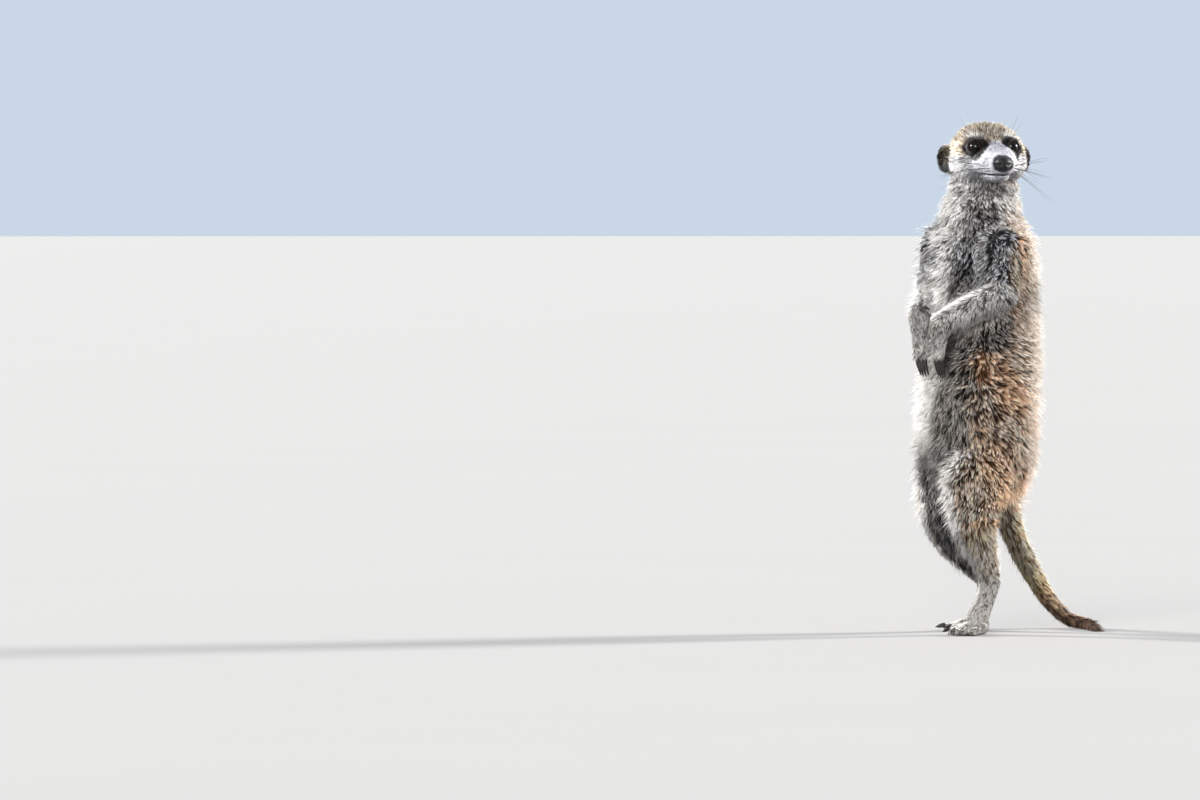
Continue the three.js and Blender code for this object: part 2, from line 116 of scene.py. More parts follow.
# ---------------------------------------------------------------- the head's frame
EYE_FORWARD, EYE_UP = 18.8, 3.0  # of the eyes from the head's centre
eye_mid = (centre("eye_left") + centre("eye_right")) / 2
eye_gap = centre("eye_left") - centre("eye_right")
HEAD_X = Vector((eye_gap.x, eye_gap.y, 0)).normalized()
HEAD_Y = Vector((HEAD_X.y, -HEAD_X.x, 0))
HEAD_AT = eye_mid - HEAD_Y * EYE_FORWARD * MM - Vector((0, 0, EYE_UP)) * MM
EYE_SIDE = eye_gap.length / 2 / MM
EYE_RADIUS = (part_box("eye_left")[1][2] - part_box("eye_left")[0][2]) / 2 / MM
HEAD_AXES = np.array([HEAD_X, HEAD_Y, (0, 0, 1)])


def to_head(points):
    """World metres to the head's frame in millimetres."""
    return (points - np.array(HEAD_AT)) @ HEAD_AXES.T / MM


def from_head(points):
    return np.asarray(points) * MM @ HEAD_AXES + np.array(HEAD_AT)


# ---------------------------------------------------------------- helpers on arrays of points
FAR = math.inf


def in_box(points, low, high):
    return ((points > low) & (points < high)).all(1)


def smoothstep(low, high, values):
    t = np.clip((values - low) / (high - low), 0, 1)
    return t * t * (3 - 2 * t)


def ripple(points, wavelength, seed, waves=7):
    """A smooth random field, about -1 to 1, of points in millimetres."""
    rng = np.random.default_rng(seed)
    ways = rng.normal(size=(waves, 3))
    ways *= rng.uniform(0.6, 1.5, (waves, 1)) / np.linalg.norm(ways, axis=1, keepdims=True)
    phases = rng.uniform(0, 2 * math.pi, waves)
    angles = points @ ways.T * (2 * math.pi / wavelength) + phases
    return np.sin(angles).sum(1) / math.sqrt(waves)


def unit(vectors):
    return vectors / np.maximum(np.linalg.norm(vectors, axis=-1, keepdims=True), 1e-12)


def tangent(vectors, normals):
    return vectors - normals * (vectors * normals).sum(1, keepdims=True)


def mixed(a, b, amount):
    return a * (1 - amount) + b * amount


# ---------------------------------------------------------------- meshes from arrays
def new_object(name, data):
    made = bpy.data.objects.new(name, data)
    bpy.context.scene.collection.objects.link(made)
    return made


def edit(mesh, change):
    """Opens a mesh as a bmesh, changes it and writes it back."""
    bm = bmesh.new()
    bm.from_mesh(mesh)
    change(bm)
    bm.to_mesh(mesh)
    bm.free()


def evaluated(made):
    """The mesh of an object as its modifiers leave it."""
    return bpy.data.meshes.new_from_object(made.evaluated_get(bpy.context.evaluated_depsgraph_get()))


def smooth(mesh):
    mesh.polygons.foreach_set("use_smooth", np.ones(len(mesh.polygons), dtype=bool))


def mesh_of(name, points, triangles):
    mesh = bpy.data.meshes.new(name)
    mesh.vertices.add(len(points))
    mesh.vertices.foreach_set("co", np.ascontiguousarray(points, dtype=np.float32).ravel())
    mesh.loops.add(triangles.size)
    mesh.loops.foreach_set("vertex_index", triangles.ravel().astype(np.int32))
    mesh.polygons.add(len(triangles))
    mesh.polygons.foreach_set("loop_start", np.arange(0, triangles.size, 3, dtype=np.int32))
    mesh.update(calc_edges=True)
    smooth(mesh)
    return mesh


def points_of(mesh):
    points = np.empty(len(mesh.vertices) * 3, dtype=np.float32)
    mesh.vertices.foreach_get("co", points)
    return points.reshape(-1, 3).astype(float)


def normals_of(mesh):
    normals = np.empty(len(mesh.vertices) * 3, dtype=np.float32)
    mesh.vertex_normals.foreach_get("vector", normals)
    return normals.reshape(-1, 3).astype(float)


def triangles_of(mesh):
    mesh.calc_loop_triangles()
    corners = np.empty(len(mesh.loop_triangles) * 3, dtype=np.int32)
    mesh.loop_triangles.foreach_get("vertices", corners)
    return corners.reshape(-1, 3)


def tree_of(points, faces):
    return BVHTree.FromPolygons([Vector(p) for p in points], faces)


def set_points(mesh, points):
    mesh.vertices.foreach_set("co", np.ascontiguousarray(points, dtype=np.float32).ravel())
    mesh.update()


def paint(mesh, name, colours):
    """Stores one colour for each vertex."""
    layer = mesh.color_attributes.new(name, "FLOAT_COLOR", "POINT")
    rgba = np.ones((len(colours), 4), dtype=np.float32)
    rgba[:, :3] = colours
    layer.data.foreach_set("color", rgba.ravel())


class Surface:
    """A mesh's vertices with the averages over each one's neighbours."""

    def __init__(self, mesh):
        edges = np.empty(len(mesh.edges) * 2, dtype=np.int32)
        mesh.edges.foreach_get("vertices", edges)
        edges = edges.reshape(-1, 2)
        self.start = np.concatenate([edges[:, 0], edges[:, 1]])
        self.end = np.concatenate([edges[:, 1], edges[:, 0]])
        self.count = np.maximum(np.bincount(self.start, minlength=len(mesh.vertices)), 1)

    def average(self, values):
        columns = values.reshape(len(values), -1)
        sums = [
            np.bincount(self.start, weights=columns[self.end, k], minlength=len(values))
            for k in range(columns.shape[1])
        ]
        return (np.stack(sums, 1) / self.count[:, None]).reshape(values.shape)

    def blurred(self, values, rounds):
        for _ in range(rounds):
            values = 0.5 * values + 0.5 * self.average(values)
        return values

    def smoothed(self, points, rounds, amount=1.0):
        """Taubin's smoothing, which keeps the volume."""
        amount = np.broadcast_to(amount, (len(points),))[:, None]
        for _ in range(rounds):
            points = points + 0.5 * amount * (self.average(points) - points)
            points = points - 0.52 * amount * (self.average(points) - points)
        return points


# ---------------------------------------------------------------- the skin
VOXEL = 1.1  # the size of the faces of the joined surface, before the face is refined
CLOSING = 0.25  # the flesh nodes grow by this, so that the gaps between them close


def flesh_mesh():
    """All nodes of flesh and the eyes as one mesh, each node grown a little."""
    owned = [(node, NAMES.index(name)) for name in NAMES for node in REGIONS[name]["nodes"]]
    owned += [(eye, NAMES.index("head")) for eye in pair("eye")]
    points, triangles, owners, offset = [], [], [], 0
    for node, owner in owned:
        mesh = bpy.data.objects[node].data
        corners = triangles_of(mesh)
        triangles.append(corners + offset)
        points.append(points_of(mesh) + normals_of(mesh) * CLOSING * MM)
        owners.append(np.full(len(corners), owner))
        offset += len(mesh.vertices)
    return np.concatenate(points), np.concatenate(triangles), np.concatenate(owners)


def remeshed(points, triangles):
    """The outer surface of overlapping pieces, as one even mesh."""
    rough = new_object("rough", mesh_of("rough", points, triangles))
    modifier = rough.modifiers.new("even", "REMESH")
    modifier.mode = "VOXEL"
    modifier.voxel_size = VOXEL * MM
    shaped = evaluated(rough)
    bpy.data.objects.remove(rough)
    edit(shaped, keep_largest)
    return shaped


def keep_largest(bm):
    """Deletes all but the largest connected shell, such as the walls of closed gaps."""
    seen, shells = set(), []
    for first in bm.verts:
        if first in seen:
            continue
        shell, edge = {first}, [first]
        while edge:
            vertex = edge.pop()
            for link in vertex.link_edges:
                other = link.other_vert(vertex)
                if other not in shell:
                    shell.add(other)
                    edge.append(other)
        seen |= shell
        shells.append(shell)
    shells.sort(key=len)
    for shell in shells[:-1]:
        bmesh.ops.delete(bm, geom=list(shell), context="VERTS")


def refine(mesh, chosen):
    """Halves the edges between chosen vertices."""

    def halve(bm):
        bm.verts.ensure_lookup_table()
        edges = [e for e in bm.edges if chosen[e.verts[0].index] and chosen[e.verts[1].index]]
        bmesh.ops.subdivide_edges(bm, edges=edges, cuts=1, use_grid_fill=True)
        bmesh.ops.triangulate(bm, faces=[f for f in bm.faces if len(f.verts) > 4])

    edit(mesh, halve)


# ---------------------------------------------------------------- the face, shaped into the skin
NOSE = to_head(np.array(centre("nose"))[None])[0]
NOSE_BOTTOM = -11.3  # the lowest of the leather
GAZE = math.radians(27)  # outwards
LID = 0.55  # thickness
OPENING = (math.radians(43), math.radians(34))  # half-angles of the eye's opening, across and up
OPEN, SHUT = 0.97, 1.06  # the eye's measure where the skin drops behind the lids, and where they are whole
LID_ENDS = (1.35, 2.1)  # and where the lids run out into the face
BEHIND_LIDS = 1.1
LIPS = [(20, -11.4), (25, -12.1), (31, -12.9), (37, -13.4), (41, -13.4), (45, -13.0)]  # forward, up
GROOVE = dict(depth=1.2, width=0.55)  # between the lips
LOWER_LIP = dict(height=0.4, at=1.6, width=1.0)
DENTS = [
    # in the nose: across, forward and up from its centre, the radii, and the depth
    ((2.5, 3.3, -0.6), (0.95, 2.0, 0.75), 1.5),  # the nostril
    ((3.6, 2.3, -0.25), (0.9, 1.4, 0.5), 0.8),  # its slit, round the side
    ((0, 4, -3), (0.45, 3, 3.2), 0.45),  # the groove under the middle
]
# The dark patch round the eye: how far its middle lies to the inner side, and how much further low
# down, half its width, how much less that is low down, how far down its middle lies, half its height.
PATCH = dict(inward=0.7, inward_low=1.8, wide=8.3, less_low=4.0, down=1.7, high=7.0)


def eye_frame(sign):
    """The eye's centre and its own axes: across, up and along the gaze."""
    at = np.array([sign * EYE_SIDE, EYE_FORWARD, EYE_UP])
    gaze = np.array([sign * math.sin(GAZE), math.cos(GAZE), 0.05])
    gaze /= np.linalg.norm(gaze)
    across = np.cross(gaze, [0, 0, 1.0])
    across /= np.linalg.norm(across)
    return at, across, np.cross(across, gaze), gaze


def eye_measure(q, sign):
    """How far out from the eye's opening points are: under 1 inside it, growing outwards, and large
    behind the eye; with their distance and way from the eye's centre, and that centre."""
    at, across, up, gaze = eye_frame(sign)
    away = q - at
    radius = np.linalg.norm(away, axis=1)
    way = away / np.maximum(radius, 1e-9)[:, None]
    x, z = way @ across, way @ up
    measure = np.sqrt((x / math.sin(OPENING[0])) ** 2 + (z / math.sin(OPENING[1])) ** 2)
    return np.where(way @ gaze > 0.1, measure, 9.0), radius, way, at


def from_mouth(q):
    """How far above the line between the lips points of the muzzle are; far away behind its corners."""
    ahead, up = np.array(LIPS, float).T
    behind = smoothstep(ahead[0] + 2, ahead[0] - 2, q[:, 1])
    return q[:, 2] - np.interp(q[:, 1], ahead, up) + 9.0 * behind


def bump(q, at, radius):
    """A bell-shaped weight round a point, mirrored on both sides of the face."""
    offset = np.stack([np.abs(q[:, 0]) - at[0], q[:, 1] - at[1], q[:, 2] - at[2]], 1)
    return np.exp(-((offset / radius) ** 2).sum(1))


def eye_patch(q):
    """The measure of the dark patch round each eye, seen along its gaze: under 1 inside the patch."""
    at, across, up, _ = eye_frame(1)
    offset = np.stack([np.abs(q[:, 0]), q[:, 1], q[:, 2]], 1) - at
    inward, above = -offset @ across, offset @ up
    low = smoothstep(0.5, -8, above)
    aside = inward - PATCH["inward"] - PATCH["inward_low"] * low
    aside /= PATCH["wide"] - PATCH["less_low"] * low
    return np.sqrt(aside**2 + ((above + PATCH["down"]) / PATCH["high"]) ** 2)


NEAR_EYES = 8.5  # millimetres from the middle of an eye


def near_eyes(q):
    """1 at the eyes, falling to 0 a centimetre or so past that distance."""
    apart = np.abs(q * [1, 0, 0]) + q * [0, 1, 1] - [EYE_SIDE, EYE_FORWARD, EYE_UP]
    return np.exp(-((np.linalg.norm(apart, axis=1) / NEAR_EYES) ** 2))


def shape_face(q, normals):
    """Moves points of the face, in the head's frame, into lids, nostrils and a mouth."""
    q = q.copy()
    for sign in SIDES.values():
        measure, radius, way, at = eye_measure(q, sign)
        near = radius < EYE_RADIUS + 7
        lid = EYE_RADIUS + LID + 0.25 * smoothstep(1.5, 1.05, measure)
        radius = mixed(radius, lid, smoothstep(LID_ENDS[1], LID_ENDS[0], measure) * near)
        radius = mixed(radius, EYE_RADIUS - BEHIND_LIDS, smoothstep(SHUT, OPEN, measure) * near)
        q = at + way * radius[:, None]
    for at, radii, depth in DENTS:
        q -= normals * (depth * bump(q, NOSE * [0, 1, 1] + at, np.array(radii)))[:, None]
    groove = np.exp(-((from_mouth(q) / GROOVE["width"]) ** 2))
    q -= normals * (GROOVE["depth"] * groove)[:, None]
    lip = np.exp(-(((from_mouth(q) - LOWER_LIP["at"]) / LOWER_LIP["width"]) ** 2))
    return q + normals * (LOWER_LIP["height"] * lip)[:, None]


# ---------------------------------------------------------------- the lie of the coat
TRUNK = ["neck", "chest", "belly", "hips"]
LIMB_CHAINS = [["hips", "tail_base", "tail_middle", "tail_tip"]]
for side in SIDES:
    for limb in (("upper_arm", "forearm", "hand"), ("thigh", "shank", "foot")):
        LIMB_CHAINS.append([f"{stem}_{side}" for stem in limb])
UPRIGHT = np.array([0, 0, 0.03])  # half the length of a region that is in no chain, in metres


def bone_ends(region):
    """Where a region's length starts and ends, in metres, from the nodes before and after it."""
    here = np.array(centre(REGIONS[region]["nodes"][0]))
    for chain in LIMB_CHAINS:
        if region in chain and region != "hips":
            k = chain.index(region)
            before = np.array(centre(chain[k - 1])) if k else None
            after = np.array(centre(chain[k + 1])) if k + 1 < len(chain) else None
            start = (before + here) / 2 if before is not None else here * 2 - (here + after) / 2
            end = (after + here) / 2 if after is not None else here * 2 - (before + here) / 2
            return start, end
    return here + UPRIGHT, here - UPRIGHT


BONES = {name: bone_ends(name) for name in NAMES}
# The hair turns away from a whorl on each flank: degrees round from the front, and millimetres.
WHORL = dict(angle=74, height=156, aside=30, size=22, strength=0.95, swirl=0.7)


def whorl(p, normals, sign):
    """How the hair of one flank turns away from its whorl."""
    angle = math.radians(WHORL["angle"]) * sign
    direction = np.array([math.sin(angle), -math.cos(angle), 0])
    away = p - (BELLY_AT * [1, 1, 0] + direction * WHORL["aside"] + [0, 0, WHORL["height"]])
    distance = np.linalg.norm(away, axis=1)
    strength = WHORL["strength"] * np.exp(-((distance / WHORL["size"]) ** 2)) * smoothstep(0, 5, distance)
    return (unit(away) + WHORL["swirl"] * np.cross(normals, unit(away))) * strength[:, None]


def lie_of_coat(points, normals, regions):
    """The way that the hair points at each place, before it is laid along the skin."""
    p = points / MM
    q = to_head(points)
    flow = np.zeros_like(points)
    outward = unit((p - BELLY_AT) * [1, 1, 0])
    for index, name in enumerate(NAMES):
        here = regions == index
        start, end = BONES[name]
        way = unit(end - start)
        if name in ("head", "muzzle", "nose"):
            local = unit(q[here] - NOSE - [0, 2, 0])
            local[:, 2] -= 0.35 * smoothstep(6, -4, q[here, 2]) * smoothstep(30, 10, q[here, 1])
            flow[here] = local @ HEAD_AXES
        elif name in pair("ear"):
            flow[here] = np.array([SIDES[name[4:]] * 0.9, -0.35, 0.1]) @ HEAD_AXES
        elif name in TRUNK:
            flow[here] = np.array([0, 0.22, -1.0]) + 0.35 * outward[here] * [0.4, 1, 0]
        elif name in pair("forearm"):
            flow[here] = way * 0.6 + np.array([0, 0.25, -0.8])
        elif name in pair("upper_arm"):
            over = smoothstep(220, 236, p[here, 2])[:, None]
            flow[here] = way + 1.1 * over * outward[here]
        else:
            flow[here] = way
    for sign in SIDES.values():
        flow += whorl(p, normals, sign)
    return flow


# ---------------------------------------------------------------- the skin, let in under the coat
FINE_DEPTH = 2.75  # regions with a shallower coat keep their own depth
FILL_ROUNDS = 30
INSET_STEPS = 6
EYES_LET_IN = 0.4  # the share of the depth of the coat that is left at the eyes
FINE_FACE = ((-19, 11, -17), (19, FAR, 11))  # boxes in the head's frame
FINE_SNOUT = ((-FAR, 37, -FAR), (FAR, FAR, 0))
SOFT_FACE = ((-FAR, 7, -22), (FAR, FAR, 16))


def body_depth(surface, regions):
    """How deep the skin lies at each point: slow changes on the body, quick ones on fine parts."""
    own = np.array([REGIONS[name]["depth"] for name in NAMES])[regions]
    slow = surface.blurred(own, 160)
    quick = surface.blurred(own, 10)
    fine = within(regions, [name for name in NAMES if REGIONS[name]["depth"] < FINE_DEPTH])
    return mixed(slow, np.minimum(quick, slow), surface.blurred(fine.astype(float), 12))


def filled(surface, points, regions):
    """Fills the creases where the upper arms and thighs join the trunk."""
    stems = within(regions, pair("upper_arm", "thigh"))
    trunk = within(regions, TRUNK)
    crease = (surface.average(trunk.astype(float)) > 0) & stems
    crease |= (surface.average(stems.astype(float)) > 0) & trunk
    share = np.clip(4 * surface.blurred(crease.astype(float), 12), 0, 1)[:, None]
    for _ in range(FILL_ROUNDS):
        points = points + 0.5 * share * (surface.average(points) - points)
    return points


def let_in(mesh, surface, here, regions, amount):
    """Moves the skin inwards by the depth of the coat, and keeps it smooth; returns its points."""
    depth = body_depth(surface, regions) * (1 - (1 - EYES_LET_IN) * near_eyes(to_head(here)))
    for _ in range(INSET_STEPS):
        set_points(mesh, here)
        inward = surface.blurred(-normals_of(mesh), 2)
        here = here + unit(inward) * (depth / INSET_STEPS * MM)[:, None]
        here = surface.smoothed(here, 2, amount)
    set_points(mesh, here)
    return here


def near_features(q):
    """Which points are at the eyes and the tip of the snout, where the mesh is finest."""
    close = in_box(q, *FINE_SNOUT)
    for sign in SIDES.values():
        measure, radius, _, _ = eye_measure(q, sign)
        close |= (measure < 2.0) & (radius < EYE_RADIUS + 6)
    return close


def build_skin():
    points, triangles, owners = flesh_mesh()
    mesh = remeshed(points, triangles)
    tree = tree_of(points, triangles.tolist())

    surface = Surface(mesh)
    here = points_of(mesh)
    regions = np.array([owners[tree.find_nearest(Vector(p))[2]] for p in here])
    fine = within(regions, pair("hand", "foot", "ear"))
    amount = surface.blurred(np.where(fine, 0.3, 1.0), 6)
    here = filled(surface, surface.smoothed(here, 12, amount), regions)
    set_points(mesh, here)
    outline = tree_of(here, [list(face.vertices) for face in mesh.polygons])
    here = let_in(mesh, surface, here, regions, amount)

    refine(mesh, in_box(to_head(here), *FINE_FACE))
    refine(mesh, near_features(to_head(points_of(mesh))))
    here = points_of(mesh)
    soft = in_box(to_head(here), *SOFT_FACE)
    here = Surface(mesh).smoothed(here, 3, soft * 0.8)
    set_points(mesh, here)
    shaped = shape_face(to_head(here), normals_of(mesh) @ HEAD_AXES.T)
    set_points(mesh, np.where(soft[:, None], from_head(shaped), here))
    smooth(mesh)
    return new_object("skin", mesh), tree, owners, outline


skin, flesh_tree, flesh_owners, outline = build_skin()
surface = Surface(skin.data)
skin_points = points_of(skin.data)
skin_normals = normals_of(skin.data)
skin_region = np.array([flesh_owners[flesh_tree.find_nearest(Vector(p))[2]] for p in skin_points])
skin_gap = np.array([outline.find_nearest(Vector(p))[3] for p in skin_points]) / MM
skin_gap = surface.blurred(np.clip(skin_gap, 0.25, 12), 4)


def by_region(key, rounds):
    """One number for each point of skin, from its region, blurred where regions meet."""
    values = np.array([REGIONS[name][key] for name in NAMES], dtype=float)[skin_region]
    return surface.blurred(values, rounds)


# How far each point belongs to each region, with wide blends between those of the trunk and limbs.
membership = surface.blurred(np.eye(len(NAMES))[skin_region], 8)
blending = [NAMES.index(name) for name in TRUNK + pair("upper_arm", "thigh", "shank")]
membership[:, blending] = surface.blurred(membership[:, blending], 50)


def belonging(*names):
    """How far each point of skin belongs to the named regions."""
    return sum(membership[:, NAMES.index(name)] for name in names)


COMB_ROUNDS = 12
flow = lie_of_coat(skin_points, skin_normals, skin_region)
for _ in range(COMB_ROUNDS):
    flow = surface.blurred(unit(tangent(flow, skin_normals)), 2)
flow = unit(tangent(flow, skin_normals))

# ---------------------------------------------------------------- markings
# Three colours for each hair, at its root, middle and tip, before the light falls on them; a few palettes
# are laid as painted light, as noted beside them.
PALETTES = {
    "flank": [(0.010, 0.005, 0.003), (0.175, 0.088, 0.048), (0.86, 0.69, 0.53)],
    "rust": [(0.030, 0.010, 0.005), (0.48, 0.20, 0.080), (0.92, 0.68, 0.46)],
    "back": [(0.05, 0.028, 0.016), (0.60, 0.44, 0.31), (0.95, 0.90, 0.80)],
    "chest": [(0.005, 0.005, 0.007), (0.046, 0.046, 0.056), (0.58, 0.58, 0.63)],
    "white": [(0.24, 0.225, 0.21), (0.76, 0.73, 0.70), (0.95, 0.94, 0.92)],
    "belly": [(0.008, 0.007, 0.006), (0.050, 0.042, 0.037), (0.46, 0.42, 0.37)],
    # dark: both darker fur and painted shade in creases and hollows
    "dark": [(0.004, 0.003, 0.003), (0.020, 0.018, 0.018), (0.22, 0.21, 0.21)],
    "cheek": [(0.17, 0.165, 0.17), (0.52, 0.51, 0.53), (0.75, 0.74, 0.76)],
    "throat": [(0.05, 0.045, 0.040), (0.34, 0.31, 0.29), (0.84, 0.80, 0.77)],
    "crown": [(0.040, 0.022, 0.013), (0.52, 0.34, 0.20), (0.94, 0.80, 0.62)],
    "brow": [(0.26, 0.24, 0.22), (0.58, 0.55, 0.52), (0.80, 0.78, 0.75)],
    "bridge": [(0.28, 0.28, 0.32), (0.60, 0.59, 0.66), (0.82, 0.80, 0.87)],
    "black": [(0.007, 0.005, 0.005), (0.010, 0.007, 0.007), (0.020, 0.015, 0.014)],
    "forearm": [(0.040, 0.030, 0.024), (0.70, 0.62, 0.54), (0.95, 0.93, 0.89)],
    # painted shade at the ends of the hands, among the claws
    "fingertip_shade": [(0.012, 0.010, 0.010), (0.030, 0.026, 0.026), (0.11, 0.10, 0.095)],
    "shank": [(0.12, 0.075, 0.045), (0.72, 0.54, 0.35), (0.95, 0.88, 0.74)],
    "foot": [(0.16, 0.13, 0.11), (0.66, 0.60, 0.53), (0.95, 0.92, 0.86)],
    # a painted glow of the light from behind, over rusty hair
    "painted_backlight_glow": [(0.20, 0.09, 0.04), (0.86, 0.50, 0.26), (0.95, 0.80, 0.58)],
    "tail": [(0.045, 0.018, 0.008), (0.52, 0.28, 0.125), (0.90, 0.66, 0.42)],
    "tail_end": [(0.015, 0.009, 0.008), (0.075, 0.036, 0.022), (0.20, 0.11, 0.07)],
}
PALETTES = {name: np.array(colours) for name, colours in PALETTES.items()}

BETWEEN_THIGHS = (THIGHS_AT[0] + THIGHS_AT[1]) / 2
TO_LEFT_THIGH = unit((THIGHS_AT[0] - THIGHS_AT[1]) * [1, 1, 0])
HAND_END = min(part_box(node)[0][2] for node in pair("hand")) / MM
CHEST_TURN = 15  # degrees that the front of the chest is turned round from that of the hips


def angle_from_front(p):
    """Degrees round the trunk from the middle of its front, positive to the animal's left."""
    turn = np.radians(CHEST_TURN * smoothstep(90, 210, p[:, 2]))
    x, y = p[:, 0] - BELLY_AT[0], p[:, 1] - BELLY_AT[1]
    return np.degrees(np.arctan2(x * np.cos(turn) + y * np.sin(turn), x * np.sin(turn) - y * np.cos(turn)))


class Places:
    """Places on the body, what the markings go by there, and the colours laid over each other.

    The painted shade of the arms on the trunk is 1 where an arm lies against it, and falls to 0 a
    centimetre away.
    """

    def __init__(self, points, weights, normals, arm_shade):
        self.weights, self.normals, self.arm_shade = weights, normals, arm_shade
        self.p = points / MM
        self.q = to_head(points)
        self.z = self.p[:, 2]
        self.blotch = ripple(self.p, 30, 11)
        self.fleck = ripple(self.p, 9, 12)
        self.signed = angle_from_front(self.p)
        self.turn = np.abs(self.signed) + 7 * self.fleck
        away = normals[:, 0] * np.sign(self.p[:, 0] - BELLY_AT[0])
        self.facing = np.degrees(np.arctan2(away, -normals[:, 1])) + 5 * self.fleck
        self.colours = np.zeros((len(points), 3, 3))

    def share(self, *names):
        """How far each place belongs to the named regions."""
        return sum(self.weights[:, NAMES.index(name)] for name in names)

    def layer(self, palette, amount):
        """Covers the places with a palette, by an amount from 0 to 1."""
        amount = np.clip(amount, 0, 1)[:, None, None]
        self.colours = mixed(self.colours, PALETTES[palette][None], amount)


def mark_trunk(at):
    """Rusty flanks, a tan back, and a grey chest and belly with painted shade low on the chest and by the
    arms, and a white stripe down the middle that is partly pale fur and partly a painted sunlit streak.
    """
    z, turn, share, layer = at.z, at.turn, at.share, at.layer
    upper = smoothstep(176, 200, z)
    layer("flank", np.ones(len(z)))
    layer("rust", smoothstep(-0.3, 0.8, at.blotch) * 0.85)
    layer("back", smoothstep(105, 140, turn) * 0.8)
    bands = smoothstep(0.2, 1.2, ripple(at.p * [1, 1, 2.2], 42, 13))
    layer("back", bands * smoothstep(125, 150, turn))
    layer("chest", smoothstep(104, 84, turn) * upper)
    layer("rust", smoothstep(90, 100, turn) * smoothstep(122, 108, turn) * upper * 0.8)
    layer("belly", smoothstep(62, 46, turn) * smoothstep(190, 165, z))
    # Painted shade on the chest, darker lower down and away from its middle.
    layer("dark", share("chest") * smoothstep(224, 202, z) * smoothstep(18, 34, turn) * 0.45)
    # Painted shade on the chest and belly where the arms lie against them.
    under_arm_shade = at.arm_shade * smoothstep(104, 88, turn) * smoothstep(232, 214, z)
    layer("dark", share("chest", "belly") * under_arm_shade * 0.95)
    # The white stripe is partly pale fur down the front and partly a painted sunlit streak.
    high = smoothstep(145, 185, z)
    off_stripe = np.abs(at.signed + 12 - 16 * high + 3 * at.fleck)
    stripe = smoothstep(30 - 12 * high, 17 - 10 * high, off_stripe)
    layer("white", stripe * share("chest", "belly", "hips") * 0.92)


def mark_neck(at):
    """A pale throat between white sides, over a band of painted shade in the crease where it meets the
    chest and shoulders, and the crown's colour at the nape.
    """
    z, turn, layer = at.z, at.turn, at.layer
    neck = at.share("neck")
    layer("throat", neck)
    side = smoothstep(70, 92, turn) * smoothstep(146, 118, turn) * smoothstep(228, 254, z)
    layer("white", neck * side * 0.8)
    layer("white", neck * smoothstep(40, 22, turn) * 0.95)
    # Painted shade in the crease where the neck meets the chest and shoulders.
    above_neck_crease = (z - 234 - 0.35 * (turn - 30) + at.fleck) / 6
    neck_crease_shade = np.exp(-(above_neck_crease**2)) * smoothstep(26, 36, turn) * smoothstep(86, 66, turn)
    layer("dark", neck_crease_shade * 0.75)
    layer("crown", neck * smoothstep(112, 140, turn))
    layer("crown", neck * smoothstep(0, -9, at.q[:, 1]) * smoothstep(246, 264, z))


def mark_arms(at):
    """Upper arms grey in front and rusty behind, pale forearms, and painted shade at the ends of the
    fingers, among the claws.
    """
    layer = at.layer
    upper_arm, hand = at.share(*pair("upper_arm")), at.share(*pair("hand"))
    layer("chest", upper_arm * 0.85)
    layer("throat", upper_arm * smoothstep(208, 238, at.z + 3 * at.fleck) * 0.85)
    layer("rust", upper_arm * smoothstep(84, 100, at.turn) * 0.8)
    layer("rust", upper_arm * smoothstep(0.1, 0.6, at.normals[:, 1]) * 0.85)
    layer("forearm", at.share(*pair("forearm")))
    layer("forearm", hand)
    # Painted shade among the claws at the ends of the hands.
    layer("fingertip_shade", hand * smoothstep(HAND_END + 3, HAND_END, at.z + 1.2 * at.fleck))


def mark_legs(at):
    """Rusty thighs and pale shanks, with painted shade on their inner sides, a white edge in front, and a
    painted glow of the light from behind on the rusty hair at the back.
    """
    z, facing, layer = at.z, at.facing, at.layer
    thigh, shank = at.share(*pair("thigh")), at.share(*pair("shank"))
    layer("flank", thigh)
    layer("flank", shank)
    layer("rust", (thigh + shank) * smoothstep(-0.4, 0.7, at.blotch) * 0.8)
    layer("shank", shank * smoothstep(66, 44, z + 3 * at.fleck))
    rear = smoothstep(0.0, 0.6, at.normals[:, 1])
    layer("rust", thigh * rear * smoothstep(60, 75, z) * 0.8)
    # A painted glow of the light from behind on the rusty hair that faces back.
    painted_backlight_glow = rear * smoothstep(102, 84, z) * smoothstep(36, 52, z)
    layer("painted_backlight_glow", (thigh + shank + at.share("hips", "tail_base")) * painted_backlight_glow * 0.85)
    legs = np.clip(thigh + shank + at.share("belly", "hips") * smoothstep(116, 102, z), 0, 1)
    # Painted shade on the inner sides of the legs, where they face each other.
    layer("dark", legs * smoothstep(-20, -32, facing) * smoothstep(-170, -150, facing))
    edge = smoothstep(-27, -17, facing) * smoothstep(48, 28, facing) * smoothstep(134, 116, z)
    layer("white", (thigh + shank) * edge * 0.95)
    layer("foot", shank * smoothstep(40, 24, z))
    layer("foot", at.share(*pair("foot")))


def mark_arm_edges(at):
    """White down the front of the arms."""
    arm = 0.25 * at.share(*pair("upper_arm")) + at.share(*pair("forearm"))
    edge = smoothstep(-60, -30, at.facing) * smoothstep(60, 30, at.facing)
    at.layer("white", arm * edge * 0.8)


